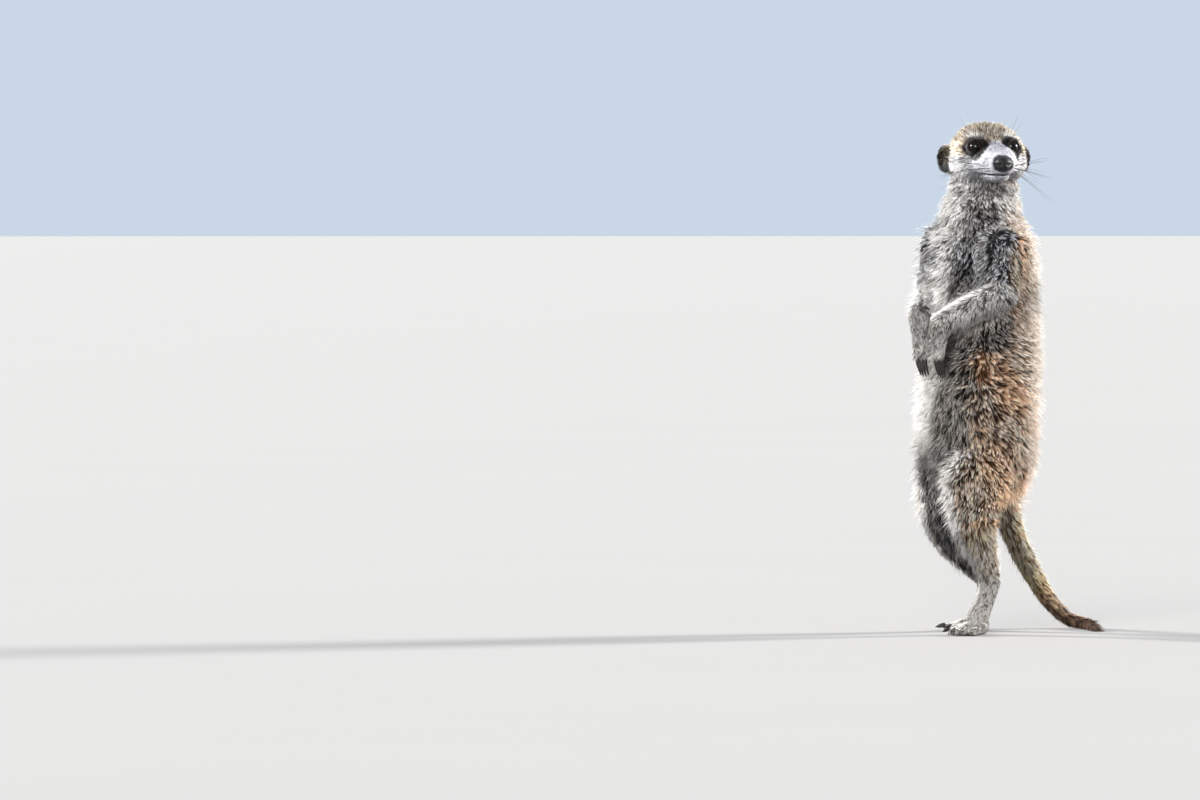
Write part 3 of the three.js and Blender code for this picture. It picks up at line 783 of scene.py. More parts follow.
def mark_groin(at):
    """Painted shade in the hollow between the thighs, with a white line along the inner edge of each
    thigh.
    """
    z, to_front = at.z, -at.normals[:, 1]
    off_middle = (at.p - BETWEEN_THIGHS) @ TO_LEFT_THIGH
    off_middle = np.where(off_middle > 0, off_middle, -0.88 * off_middle) + 0.8 * at.fleck
    trunk = at.share("belly", "hips") * smoothstep(0.1, 0.5, to_front)
    legs = at.share(*pair("thigh", "shank")) * smoothstep(58, 66, z) * smoothstep(-0.2, 0.1, to_front)
    groin = np.clip(trunk + legs, 0, 1) * smoothstep(126, 110, z)
    ring = smoothstep(26, 23.5, off_middle) * smoothstep(18.5, 20.5, off_middle)
    at.layer("white", groin * ring * smoothstep(113, 102, z) * 0.9)
    # Painted shade in the hollow between the thighs.
    at.layer("dark", groin * smoothstep(20.5, 18.5, off_middle))


def mark_tail(at):
    """Rusty, with a dark end."""
    at.layer("tail", at.share("tail_base", "tail_middle", "tail_tip"))
    at.layer("flank", at.share("tail_base") * 0.5)
    from_end = np.linalg.norm(at.p - BONES["tail_tip"][1] / MM, axis=1)
    at.layer("tail_end", at.share("tail_middle", "tail_tip") * smoothstep(62, 14, from_end + 5 * at.fleck))


def mark_head(at):
    """Grey cheeks under a tan crown, pale brows and bridge, black round the eyes, ears and lips."""
    fleck, layer = at.fleck, at.layer
    head = at.share("head", "muzzle", "nose", *pair("ear"))
    side, ahead, up = np.abs(at.q[:, 0]), at.q[:, 1], at.q[:, 2]
    layer("cheek", head)
    layer("throat", head * smoothstep(-13.5, -17.5, up + fleck) * smoothstep(40, 34, ahead))
    layer("crown", head * smoothstep(4.2, 6.4, up + 0.7 * fleck))
    layer("crown", head * smoothstep(13, 15.5, side) * smoothstep(-3.5, 0.5, up + 0.8 * fleck))
    layer("crown", head * smoothstep(8, 0, ahead) * smoothstep(-9, -5, up))
    layer("bridge", head * smoothstep(20, 26, ahead) * smoothstep(7, 4, up))
    layer("brow", head * bump(at.q, np.array([10.8, 19, 9.0]), np.array([5.4, 9, 1.9])) * 1.5)
    layer("black", head * smoothstep(1.08, 0.92, eye_patch(at.q) + 0.05 * fleck) * smoothstep(4, 8, ahead))
    layer("black", at.share(*pair("ear")) * smoothstep(15.6, 17.6, side + 0.4 * fleck))
    leather = at.share("nose")
    layer("dark", smoothstep(0.01, 0.2, leather) * smoothstep(NOSE_BOTTOM, NOSE_BOTTOM + 3, up) * 0.7)
    layer("black", smoothstep(0.12, 0.4, leather) * smoothstep(NOSE_BOTTOM - 1, NOSE_BOTTOM, up))
    pad = smoothstep(26, 31, ahead) * smoothstep(-3.5, -6, up) * smoothstep(41, 38, ahead)
    layer("dark", head * pad * smoothstep(0.7, 1.3, ripple(at.p, 2.4, 15)) * 0.6)
    layer("black", head * smoothstep(0.85, 0.45, np.abs(from_mouth(at.q))))


# Later markings cover earlier ones.
MARKINGS = [mark_trunk, mark_neck, mark_arms, mark_legs, mark_arm_edges, mark_groin, mark_tail, mark_head]


def markings(points, weights, normals, arm_shade):
    """The colours of the root, middle and tip of the hair at places on the body."""
    at = Places(points, weights, normals, arm_shade)
    for mark in MARKINGS:
        mark(at)
    return at.colours


# ---------------------------------------------------------------- materials
def put(node, **settings):
    """Sets a node's inputs, with _ for each space of their names, or else its properties."""
    for key, value in settings.items():
        label = key.replace("_", " ")
        if label in node.inputs:
            node.inputs[label].default_value = value
        else:
            setattr(node, key, value)
    return node


def add(tree, kind, **settings):
    return put(tree.nodes.new("ShaderNode" + kind), **settings)


def link(source, output, target, entry):
    source.id_data.links.new(source.outputs[output], target.inputs[entry])


def nodes_for(name):
    material = bpy.data.materials.new(name)
    material.use_nodes = True
    tree = material.node_tree
    return material, tree, tree.nodes["Principled BSDF"], add(tree, "TexCoord")


def painted_material(name, roughness, specular, grain_scale, relief_strength):
    """Takes its colour from the painted markings, with a fine grain in colour and relief."""
    material, tree, shader, place = nodes_for(name)
    colour = add(tree, "VertexColor", layer_name="coat_colour")
    grain = add(tree, "TexNoise", Scale=grain_scale, Detail=4.0, Roughness=0.6)
    link(place, "Object", grain, "Vector")
    strength = add(tree, "MapRange", To_Min=0.82, To_Max=1.16)
    link(grain, "Fac", strength, "Value")
    shade = add(tree, "VectorMath", operation="SCALE")
    link(colour, "Color", shade, 0)
    link(strength, "Result", shade, "Scale")
    link(shade, 0, shader, "Base Color")
    if relief_strength:
        relief = add(tree, "Bump", Strength=relief_strength, Distance=0.0006)
        link(grain, "Fac", relief, "Height")
        link(relief, "Normal", shader, "Normal")
    put(shader, Roughness=roughness, Specular_IOR_Level=specular)
    return material


def let_light_through(material, share):
    """Mixes in the light that a thin hair passes on from behind."""
    tree = material.node_tree
    shader = tree.nodes["Principled BSDF"]
    through = add(tree, "BsdfTranslucent")
    tree.links.new(shader.inputs["Base Color"].links[0].from_socket, through.inputs["Color"])
    blend = add(tree, "MixShader", Fac=share)
    link(shader, 0, blend, 1)
    link(through, 0, blend, 2)
    link(blend, 0, tree.nodes["Material Output"], "Surface")
    return material


def mottled_material(name, scale, detail, dark, pale, roughness, specular=0.5):
    """A fine random pattern of two colours."""
    material, tree, shader, place = nodes_for(name)
    pattern = add(tree, "TexNoise", Scale=scale, Detail=detail)
    link(place, "Object", pattern, "Vector")
    ramp = add(tree, "ValToRGB")
    for element, colour in zip(ramp.color_ramp.elements, (dark, pale)):
        element.color = (*colour, 1)
    link(pattern, "Fac", ramp, "Fac")
    link(ramp, "Color", shader, "Base Color")
    put(shader, Roughness=roughness, Specular_IOR_Level=specular)
    return material


def nose_material():
    """Black leather with a grain of small cells."""
    dark, pale = (0.004, 0.0035, 0.004), (0.017, 0.015, 0.017)
    material = mottled_material("nose_leather", 500.0, 2.0, dark, pale, 0.46, 0.14)
    tree = material.node_tree
    cells = add(tree, "TexVoronoi", Scale=2200.0)
    link(add(tree, "TexCoord"), "Object", cells, "Vector")
    relief = add(tree, "Bump", Strength=0.35, Distance=0.0003)
    link(cells, "Distance", relief, "Height")
    link(relief, "Normal", tree.nodes["Principled BSDF"], "Normal")
    return material


IRIS = [  # where along the gaze, from the side of the eye to its front, and the colour there
    (0.0, (0.004, 0.002, 0.002, 1)),
    (0.30, (0.004, 0.002, 0.002, 1)),
    (0.46, (0.013, 0.0055, 0.003, 1)),
    (0.70, (0.020, 0.008, 0.004, 1)),
    (0.76, (0.001, 0.001, 0.001, 1)),
    (0.86, (0.001, 0.001, 0.001, 1)),
]


def eye_material(side):
    """A dark brown iris round a wide black pupil, under a wet cornea."""
    material, tree, shader, place = nodes_for(f"eye_{side}_wet")
    eye_at, _, _, gaze = eye_frame(SIDES[side])
    offset = add(tree, "VectorMath", operation="SUBTRACT")
    offset.inputs[1].default_value = from_head(eye_at[None])[0]
    link(place, "Object", offset, 0)
    along = add(tree, "VectorMath", operation="DOT_PRODUCT")
    along.inputs[1].default_value = gaze @ HEAD_AXES
    link(offset, 0, along, 0)
    part = add(tree, "MapRange", From_Min=0.55 * EYE_RADIUS * MM, From_Max=EYE_RADIUS * MM)
    link(along, "Value", part, "Value")
    ramp = add(tree, "ValToRGB")
    elements = ramp.color_ramp.elements
    for element, (position, colour) in zip(elements, (IRIS[0], IRIS[-1])):
        element.position, element.color = position, colour
    for position, colour in IRIS[1:-1]:
        elements.new(position).color = colour
    link(part, "Result", ramp, "Fac")
    link(ramp, "Color", shader, "Base Color")
    put(shader, Roughness=0.2, Specular_IOR_Level=0.15)
    put(shader, Coat_Weight=0.16, Coat_Roughness=0.03, Coat_IOR=1.38)
    return material


coat_material = let_light_through(painted_material("coat_hair", 0.5, 0.3, 400.0, 0.0), 0.25)
skin_material = painted_material("skin_with_underfur", 0.85, 0.06, 900.0, 0.6)

# ---------------------------------------------------------------- finishing the skin
ARM_SHADE_REACH = (12, 23)  # painted shade: the coat is darkened within the first distance of an arm, and not past the second
q_skin = to_head(skin_points)


def arm_shade_on_trunk():
    """How much painted shade each point of the skin of the trunk takes from how close the skin of an arm
    is: 1 to 0.
    """
    arm = within(skin_region, pair("forearm", "hand"))
    tree = KDTree(int(arm.sum()))
    for index in np.flatnonzero(arm):
        tree.insert(Vector(skin_points[index]), int(index))
    tree.balance()
    distance = np.full(len(skin_points), 99.0)
    for index in np.flatnonzero(within(skin_region, ["chest", "belly"])):
        distance[index] = tree.find(Vector(skin_points[index]))[2] / MM
    return surface.blurred(smoothstep(ARM_SHADE_REACH[1], ARM_SHADE_REACH[0], distance), 6)


skin_arm_shade = arm_shade_on_trunk()
skin_colours = markings(skin_points, membership, skin_normals, skin_arm_shade)
paint(skin.data, "coat_colour", skin_colours[:, 0] * 0.55 + skin_colours[:, 1] * 0.45)
skin.data.materials.append(skin_material)
skin.data.materials.append(nose_material())


def nose_faces():
    """Gives the nose pad its own material; returns which points of skin it covers."""
    over_lip = smoothstep(NOSE_BOTTOM - 1, NOSE_BOTTOM, q_skin[:, 2])
    leather = belonging("nose") * over_lip > 0.5
    chosen = np.zeros(len(skin.data.polygons), dtype=np.int32)
    for polygon in skin.data.polygons:
        if all(leather[v] for v in polygon.vertices):
            chosen[polygon.index] = 1
    skin.data.polygons.foreach_set("material_index", chosen)
    return leather


nose_leather = nose_faces()
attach(skin, "root")
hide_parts(*FLESH)

# ---------------------------------------------------------------- the coat
FLOOR_GAP = 0.15
# Long hairs that stand out of the coat: their share, the further share in front and behind, how much
# longer they are, how far out they stand, at least and at most, and how far past the outline.
GUARDS = dict(share=0.12, fringe=0.10, longer=1.4, out=(0.8, 7.3), past=8.5, colour=(0.80, 0.75, 0.68))
WAIST = dict(along=0.56, out=0.16)  # where a hair bends, as shares of its length and its rise
UV_PATCH = 0.003  # the size of one hair's patch on the unwrap of the body
UV_GAP = 0.004  # between the regions there
UV_COVER = 0.62  # the share of it that they cover
UV_USED = 0.97  # the share of its room that a region's roots take
GIRTH = 2 * math.pi * 18  # that each region is given, in millimetres
PAST_BONE = 20  # how much longer it is than its bone


def unwrap_places(points, regions):
    """A place for each point on an unwrap of the body: each region's girth by its length."""
    lengths = [np.linalg.norm(end - start) / MM + PAST_BONE for start, end in BONES.values()]
    scale = math.sqrt(UV_COVER / sum(length * GIRTH for length in lengths))
    wide = GIRTH * scale
    uv = np.zeros((len(points), 2))
    corner_x = corner_y = shelf = 0.0
    for index, (name, (start, end)) in enumerate(BONES.items()):
        high = lengths[index] * scale
        if corner_x + wide > 0.99:
            corner_x, corner_y, shelf = 0.0, corner_y + shelf + UV_GAP, 0.0
        shelf = max(shelf, high)
        here = regions == index
        way = unit(end - start)
        across = unit(np.cross(way, [0.3, 0.9, 0.31]))
        other = np.cross(way, across)
        away = points[here] - (start + end) / 2
        angle = np.arctan2(away @ across, away @ other) / (2 * math.pi) + 0.5
        along = np.clip((away @ way) / (lengths[index] * MM) + 0.5, 0, 1)
        uv[here, 0] = corner_x + UV_USED * wide * angle
        uv[here, 1] = corner_y + UV_USED * high * along
        corner_x += wide + UV_GAP
    return uv


skin_triangles = triangles_of(skin.data)
corners = skin_points[skin_triangles] / MM
triangle_area = np.cross(corners[:, 1] - corners[:, 0], corners[:, 2] - corners[:, 0])
triangle_area = np.linalg.norm(triangle_area, axis=1) / 2
triangle_region = skin_region[skin_triangles[:, 0]]
triangle_side = (skin_points[skin_triangles].mean(1) @ np.array([1.0, 0, 0])) - BELLY_AT[0] * MM

# No hair grows on the leather of the nose, at the eyes, between the lips or under the feet.
bald = nose_leather.astype(float)
for sign in SIDES.values():
    measure, radius, _, _ = eye_measure(q_skin, sign)
    bald = np.maximum(bald, (measure < 1.12) & (radius < EYE_RADIUS + 3))
bald = np.maximum(bald, np.abs(from_mouth(q_skin)) < 0.4)
soles = skin_points[:, 2] < 1.2 * MM
bald = np.maximum(bald, soles & (skin_normals[:, 2] < -0.3))

# The hair's length changes slowly on the legs, and is short at the eyes, the lips and the bridge.
legs = belonging(*pair("thigh", "shank"))
skin_length = mixed(by_region("length", 60), by_region("length", 220), legs)
skin_length *= 1 - 0.62 * near_eyes(q_skin)
skin_length *= 1 - 0.6 * np.exp(-((from_mouth(q_skin) / 2.2) ** 2)) * (q_skin[:, 1] > 18)
skin_length *= 1 - 0.25 * smoothstep(10, 20, q_skin[:, 1]) * smoothstep(12, 6, np.abs(q_skin[:, 0]))
skin_width = by_region("width", 30)
skin_tuft = by_region("tuft", 25)
skin_face = surface.blurred(within(skin_region, ["head", "muzzle"]).astype(float), 20)

# The coat runs on past the ends of these: the way that they end, how far from the end the longer
# hairs begin, and how far they may stand past it.
ENDS = {
    "hand_left": ((0, 0, -1), 7, 2.8),
    "hand_right": ((0, 0, -1), 7, 2.8),
    "tail_tip": (unit(BONES["tail_tip"][1] - BONES["tail_tip"][0]), 12, 4.0),
}


def free_ends():
    """How far past the outline hairs may stand at each point of skin, and how straight they stand."""
    free, straight = np.zeros(len(skin_points)), np.zeros(len(skin_points))
    for name, (way, reach, length) in ENDS.items():
        along = skin_points @ np.array(way) / MM
        here = skin_region == NAMES.index(name)
        share = belonging(name) * smoothstep(reach, 0.2 * reach, along[here].max() - along)
        free += length * share
        straight += share * np.clip(skin_normals @ np.array(way), 0, 1)
    return free, straight


skin_free, skin_straight = free_ends()
skin_length += skin_free


def roots_on(chosen, density, rng):
    """Random places on chosen triangles: their corners' weights and their triangles."""
    area = triangle_area * chosen * density
    count = int(area.sum())
    picked = rng.choice(len(area), size=count, p=area / area.sum())
    a, b = rng.random((2, count))
    flip = a + b > 1
    a, b = np.where(flip, 1 - a, a), np.where(flip, 1 - b, b)
    return skin_triangles[picked], np.stack([1 - a - b, a, b], 1)


def held_in(tips, allowance):
    """Draws in tips that would stand further out of the animal's outline than they may."""
    for k, tip in enumerate(tips):
        place = Vector(tip * MM)
        near, normal, _, distance = outline.find_nearest(place)
        if distance > allowance[k] * MM and (place - near).dot(normal) > 0:
            tips[k] = (near + (place - near) * (allowance[k] * MM / distance)) / MM
    return tips


class Hairs:
    """The hairs of one coat: rooted at random, and grouped in tufts and in wider locks."""

    def __init__(self, chosen, seed):
        self.rng, self.seed = np.random.default_rng(seed), seed
        per_mm2 = np.array([REGIONS[name]["density"] / 100 for name in NAMES])[triangle_region]
        self.verts, self.weights = roots_on(chosen, per_mm2, self.rng)
        keep = self.at(bald) < 0.5
        self.verts, self.weights = self.verts[keep], self.weights[keep]
        self.count = len(self.verts)
        self.root, self.normal = self.at(skin_points), unit(self.at(skin_normals))
        self.p, self.gap = self.root / MM, self.at(skin_gap)
        self.body = np.clip((self.gap - 1.5) / 5, 0, 1)  # 0 on the face and feet, 1 on the trunk
        self.crown = smoothstep(3, 8, to_head(self.root)[:, 2]) * self.at(belonging("head"))
        self.lock_of, self.locks = grouped(self.p, 3.0 + 2.0 * self.body, 1.6)
        self.tuft_of, self.tufts = grouped(self.p, self.at(skin_tuft), 0.7)

    def at(self, field):
        """A field of the skin at the roots."""
        weights = self.weights.reshape(len(self.weights), 3, *[1] * (field.ndim - 1))
        return (field[self.verts] * weights).sum(1)

    def by_lock(self, spread):
        return self.rng.normal(0, spread, self.locks)[self.lock_of]

    def by_tuft(self, spread):
        return self.rng.normal(0, spread, self.tufts)[self.tuft_of]

    def by_hair(self, spread):
        return self.rng.normal(0, spread, self.count)


def combed(hairs):
    """The way of each hair: the lie of the coat with slow bends, turned for each lock and tuft."""
    p, body, way = hairs.p, hairs.body, hairs.at(flow)
    across = np.cross(hairs.normal, way)
    bend = (0.10 + 0.22 * body) * ripple(p, 34, hairs.seed + 1)
    bend += 0.22 * ripple(p, 10, hairs.seed + 2) * body
    bend += hairs.by_lock(0.16) * (0.5 + 0.8 * body)
    bend += hairs.by_tuft(0.24) * (0.6 + 0.4 * body) + hairs.by_hair(0.12)
    return unit(way * np.cos(bend)[:, None] + across * np.sin(bend)[:, None])


def pale_hairs(hairs, brightness):
    """Which hairs show a pale tip: whole tufts, more of them in bright markings, and some strays."""
    likely = 0.43 + 0.50 * brightness + 0.10 * ripple(hairs.p, 12, hairs.seed + 3)
    pale = hairs.rng.random(hairs.tufts)[hairs.tuft_of] < likely
    return np.where(hairs.rng.random(hairs.count) < 0.07, ~pale, pale)


def laid(hairs, way, pale):
    """The waist and the tip of each hair, and which hairs are long guard hairs."""
    rng, p, body, gap, crown, count = hairs.rng, hairs.p, hairs.body, hairs.gap, hairs.crown, hairs.count
    lift = 1.0 + hairs.by_lock(0.10) + hairs.by_tuft(0.10) + hairs.by_hair(0.07)
    lift += np.where(pale, 0.05, -0.20)
    rise = np.clip(gap * lift * 1.06, 0.12, None)
    length = hairs.at(skin_length) * rng.uniform(0.78, 1.12, count)
    turn = np.abs(angle_from_front(p))
    fringe = smoothstep(60, 30, turn) + smoothstep(115, 145, turn)
    guard = rng.random(count) < (GUARDS["share"] + GUARDS["fringe"] * fringe) * body
    length = np.where(guard, length * GUARDS["longer"], length)
    least, most = GUARDS["out"]
    rise = np.where(guard, gap + least + (most - least) * rng.random(count) ** 1.4, rise)
    rise += crown * rng.uniform(0.2, 1.3, count)
    # No hair stands up straighter than this, but those at the ends of the hands and the tail do.
    rise = np.minimum(rise, (0.6 + 0.3 * body) * length)
    rise = np.maximum(rise, 0.97 * hairs.at(skin_straight) * length)
    reach = np.sqrt(np.maximum(length**2 - rise**2, 0.01)) * 0.96
    tip = p + hairs.normal * rise[:, None] + way * reach[:, None]

    # The hairs of a tuft come together towards its tip, and those of a lock lean together.
    draw = (0.70 + 0.28 * rng.random(hairs.tufts)[hairs.tuft_of]) * (0.62 + 0.38 * body)
    lean = np.where(guard, 0.0, 0.12 * body)
    tip = mixed(tip, gathered(tip, hairs.lock_of), lean[:, None])
    tip = mixed(tip, gathered(tip, hairs.tuft_of), np.where(guard, 0.0, draw)[:, None])
    past = np.where(guard, GUARDS["past"], 0.7 + 2.2 * body + 1.4 * crown)
    tip = held_in(tip, past + hairs.at(skin_free))
    tip[:, 2] = np.maximum(tip[:, 2], FLOOR_GAP)
    waist = p + (tip - p) * WAIST["along"] + hairs.normal * (rise * WAIST["out"])[:, None]
    return waist, tip, guard


def hair_colours(hairs, colours, pale, guard):
    """Colours of the root, middle and tip of each hair, from those of the markings there."""
    shade = 1 + 0.12 * ripple(hairs.p, 6, hairs.seed + 5) + hairs.by_lock(0.12)
    shade = (shade + hairs.by_tuft(0.16) + hairs.by_hair(0.10)).clip(0.4, 1.5)
    # Pale tufts are dark only at the root; dark ones never reach the pale colour of the tip.
    dark_based = colours[:, 0].mean(1) < 0.2
    light = (pale | guard)[:, None]
    middle, end = colours[:, 1].copy(), colours[:, 2].copy()
    under = np.where(dark_based[:, None], 0.45 * colours[:, 0] + 0.12 * middle, 0.28 * middle)
    end = np.where(guard[:, None], 0.6 * end + 0.4 * np.array(GUARDS["colour"]), end)
    colours[:, 1] = np.where(light, 0.82 * middle + 0.18 * end, under)
    boost = (1.3 - 0.3 * hairs.at(skin_face))[:, None]
    colours[:, 2] = np.where(light, boost * end, np.where(dark_based[:, None], 0.22, 0.5) * middle)
    ticked = hairs.rng.random(hairs.count) < 0.16 * (1 - hairs.body) + 0.3 * hairs.crown
    colours[:, 2] = np.where((ticked & dark_based)[:, None], colours[:, 0], colours[:, 2])
    return colours * shade[:, None, None]


def grow_coat(name, regions, side, kind, seed):
    """One mesh of tufts over some regions of the skin, on one side of the body or both."""
    chosen = within(triangle_region, regions)
    if side:
        chosen &= (triangle_side > 0) == (side > 0)
    hairs = Hairs(chosen, seed)
    colours = markings(hairs.root, hairs.at(membership), hairs.normal, hairs.at(skin_arm_shade))
    way = combed(hairs)
    pale = pale_hairs(hairs, colours[:, 1].mean(1))
    waist, tip, guard = laid(hairs, way, pale)
    colours = hair_colours(hairs, colours, pale, guard)
    width = hairs.at(skin_width) * hairs.rng.uniform(0.7, 1.25, hairs.count) * np.where(guard, 0.7, 1)
    if kind is CONE:
        colours[:, 0] = 0.6 * colours[:, 0] + 0.4 * colours[:, 1]
    place = unwrap_places(hairs.root, skin_region[hairs.verts[:, 0]])
    piece = spikes(name, kind, hairs.p, waist, tip, width, np.clip(colours, 0, 0.95), place)
    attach(piece, "root")


def grouped(p, size, warp):
    """Groups points into warped cells, about `size` millimetres wide: each one's group, and how many."""
    warped = p + np.stack([ripple(p, 5.0 * warp, 71 + k) for k in range(3)], 1) * warp
    step = np.round(size * 4).astype(np.int64)
    cell = np.floor(warped / (step / 4)[:, None]).astype(np.int64)
    key = (cell[:, 0] * 73856093) ^ (cell[:, 1] * 19349663) ^ (cell[:, 2] * 83492791) ^ (step * 2654435761)
    found, index = np.unique(key, return_inverse=True)
    return index, len(found)


def gathered(tips, group_of):
    """For each tip a place close to the middle of its group's tips."""
    middle = np.stack([np.bincount(group_of, tips[:, k]) for k in range(3)], 1)
    middle /= np.maximum(np.bincount(group_of), 1)[:, None]
    return middle[group_of] + (tips - middle[group_of]) * 0.12


SPINDLE = dict(  # a closed tuft with a bend: its root, three points round its waist and its tip
    triangles=[(0, 2, 1), (1, 2, 4), (0, 3, 2), (2, 3, 4), (0, 1, 3), (3, 1, 4)],
    patch=[(0.5, 0), (0, 0.5), (0.5, 0.6), (1, 0.5), (0.5, 1)],
    tints=[0, 1, 1, 1, 2],
)
CONE = dict(  # a short straight tuft: three points round its root and its tip
    triangles=[(0, 2, 1), (0, 1, 3), (1, 2, 3), (2, 0, 3)],
    patch=[(0, 0), (0.5, 0.2), (1, 0), (0.5, 1)],
    tints=[0, 0, 0, 2],
)


def spikes(name, kind, root, waist, tip, width, colours, place):
    """Many closed tufts of one kind as one mesh, in metres, from their points in millimetres."""
    count = len(root)
    along = unit(tip - root)
    across = unit(np.cross(along, waist - root + 1e-4))
    over = np.cross(across, along)
    middle = waist if kind is SPINDLE else root
    ring = []
    for a, b in ((1.0, 0.0), (-0.5, 0.5), (-0.5, -0.5)):
        ring.append(middle + across * (width * a * 0.55)[:, None] + over * (width * b * 0.8)[:, None])
    rings = [root, *ring, tip] if kind is SPINDLE else [*ring, tip]
    points = np.stack(rings, 1).reshape(-1, 3) * MM
    triangles = np.array(kind["triangles"])[None] + (np.arange(count) * len(rings))[:, None, None]
    triangles = triangles.reshape(-1, 3)
    mesh = mesh_of(name, points, triangles)
    paint(mesh, "coat_colour", colours[:, kind["tints"]].reshape(-1, 3))
    uv_points = (place[:, None] + np.array(kind["patch"])[None] * UV_PATCH).reshape(-1, 2)
    layer = mesh.uv_layers.new(name="OFBake")
    layer.data.foreach_set("uv", uv_points[triangles.ravel()].astype(np.float32).ravel())
    mesh.materials.append(coat_material)
    return new_object(name, mesh)


SLOTS = {"neck": "chest_coat", "chest": "chest_coat", "belly": "body_coat", "hips": "body_coat"}
COATS = [
    ("coat_head", ["head"], 0, "face_coat", CONE),
    ("coat_muzzle", ["muzzle"], 0, "face_coat", CONE),
    ("coat_ears", ["ear_left", "ear_right"], 0, "ear", CONE),
    ("coat_tail", ["tail_base", "tail_middle", "tail_tip"], 0, "tail_coat", CONE),
]
for side, sign in SIDES.items():
    for name, slot in SLOTS.items():
        COATS.append((f"coat_{name}_{side}", [name], sign, slot, SPINDLE))
    arm = [f"upper_arm_{side}", f"forearm_{side}", f"hand_{side}"]
    COATS.append((f"coat_arm_{side}", arm, 0, "limb_coat", CONE))
    COATS.append((f"coat_thigh_{side}", [f"thigh_{side}"], 0, "body_coat", SPINDLE))
    COATS.append((f"coat_shank_{side}", [f"shank_{side}", f"foot_{side}"], 0, "limb_coat", CONE))
for number, (name, regions, side, slot, kind) in enumerate(COATS):
    grow_coat(name, regions, side, kind, 100 + 10 * number)


# ---------------------------------------------------------------- eyes, claws and whiskers
def fine_copy(node, name, levels, material):
    """A smoother copy of a CAD node that takes its place."""
    piece = new_object(name, bpy.data.objects[node].data.copy())
    piece.data.materials.clear()
    edit(piece.data, lambda bm: bmesh.ops.remove_doubles(bm, verts=bm.verts, dist=1e-6))
    modifier = piece.modifiers.new("round", "SUBSURF")
    modifier.levels = modifier.render_levels = levels
    mesh = evaluated(piece)
    piece.modifiers.clear()
    piece.data = mesh
    smooth(mesh)
    mesh.materials.append(material)
    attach(piece, "root")
    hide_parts(node)


CLAW_COLOURS = (0.004, 0.003, 0.003), (0.022, 0.017, 0.014)
claw_horn = mottled_material("claw_horn", 700.0, 3.0, *CLAW_COLOURS, 0.42, 0.3)
for node in CLAWS:
    fine_copy(node, f"fine_{node}", 2, claw_horn)

CORNEA = dict(bulge=0.5, start=0.72)  # how far it stands out, and from which share of the way forward


def build_eye(side):
    """An eyeball of the CAD eye's size, with the cornea standing out of it."""
    at, across, up, gaze = eye_frame(SIDES[side])
    axes = np.array([across, up, gaze])

    def shape(bm):
        bmesh.ops.create_uvsphere(bm, u_segments=64, v_segments=40, radius=EYE_RADIUS)
        for vertex in bm.verts:
            along = vertex.co.z / EYE_RADIUS
            past = max(0.0, along - CORNEA["start"]) / (1 - CORNEA["start"])
            vertex.co.z += CORNEA["bulge"] * past
            vertex.co = Vector(from_head(at + np.array(vertex.co) @ axes))
        bmesh.ops.recalc_face_normals(bm, faces=bm.faces)

    mesh = bpy.data.meshes.new(f"eyeball_{side}")
    edit(mesh, shape)
    smooth(mesh)
    mesh.materials.append(eye_material(side))
    piece = new_object(f"eyeball_{side}", mesh)
    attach(piece, "root")
    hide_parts(f"eye_{side}")


for side in SIDES:
    build_eye(side)

WHISKERS = [
    # on the left side: where it roots, across, forward and up, its direction, and its length
    (6.6, 38.6, -7.6, 0.95, 0.10, 0.18, 20),
    (7.4, 36.2, -8.0, 0.96, -0.10, 0.22, 25),
    (8.2, 33.6, -8.2, 0.95, -0.28, 0.26, 27),
    (6.4, 39.0, -9.0, 0.93, 0.12, -0.12, 21),
    (7.4, 36.4, -9.4, 0.95, -0.05, -0.10, 28),
    (8.4, 33.6, -9.6, 0.93, -0.25, -0.05, 31),
    (9.2, 30.6, -9.4, 0.90, -0.42, 0.05, 26),
    (6.0, 39.2, -10.4, 0.85, 0.15, -0.50, 20),
    (7.2, 36.6, -10.8, 0.85, -0.02, -0.48, 30),
    (8.2, 33.8, -11.0, 0.84, -0.20, -0.45, 34),
    (9.2, 30.8, -10.8, 0.82, -0.40, -0.30, 27),
    (3.6, 40.6, -14.6, 0.45, 0.25, -0.80, 11),
    (8.0, 19.5, 9.4, 0.20, 0.35, 0.90, 15),
    (9.6, 18.5, 9.6, 0.38, 0.20, 0.92, 19),
    (11.4, 17.5, 9.2, 0.52, 0.10, 0.86, 16),
    (18.6, 12.0, -9.0, 0.80, -0.35, -0.42, 17),
]
WHISKER = dict(root=0.14, end=0.03, sag=0.16, joints=7)


def whisker(root, way, length, fall):
    """One whisker: the points of a tapered tube with three sides that sags, and its triangles."""
    joints = WHISKER["joints"]
    steps = np.linspace(0, 1, joints)
    line = np.array(root) + np.outer(steps * length, way) * MM
    line[:, 2] -= fall * length * steps**2 * MM
    side = unit(np.cross(way, [0.1, 0.2, 0.97]))
    over = np.cross(side, way)
    turns = np.arange(3) * 2 * math.pi / 3
    round_it = np.outer(np.cos(turns), side) + np.outer(np.sin(turns), over)
    radii = (WHISKER["root"] * (1 - steps) + WHISKER["end"] * steps) * MM
    points = [at + radius * round_it for at, radius in zip(line[:-1], radii)]
    triangles = []
    for ring in range(0, 3 * (joints - 2), 3):
        for k in range(3):
            a, b = ring + k, ring + (k + 1) % 3
            triangles += [(a, b, b + 3), (a, b + 3, a + 3)]
    last = 3 * (joints - 2)
    triangles += [(last + k, last + (k + 1) % 3, last + 3) for k in range(3)]
    triangles.append((2, 1, 0))
    return np.concatenate([*points, line[-1:]]), np.array(triangles)


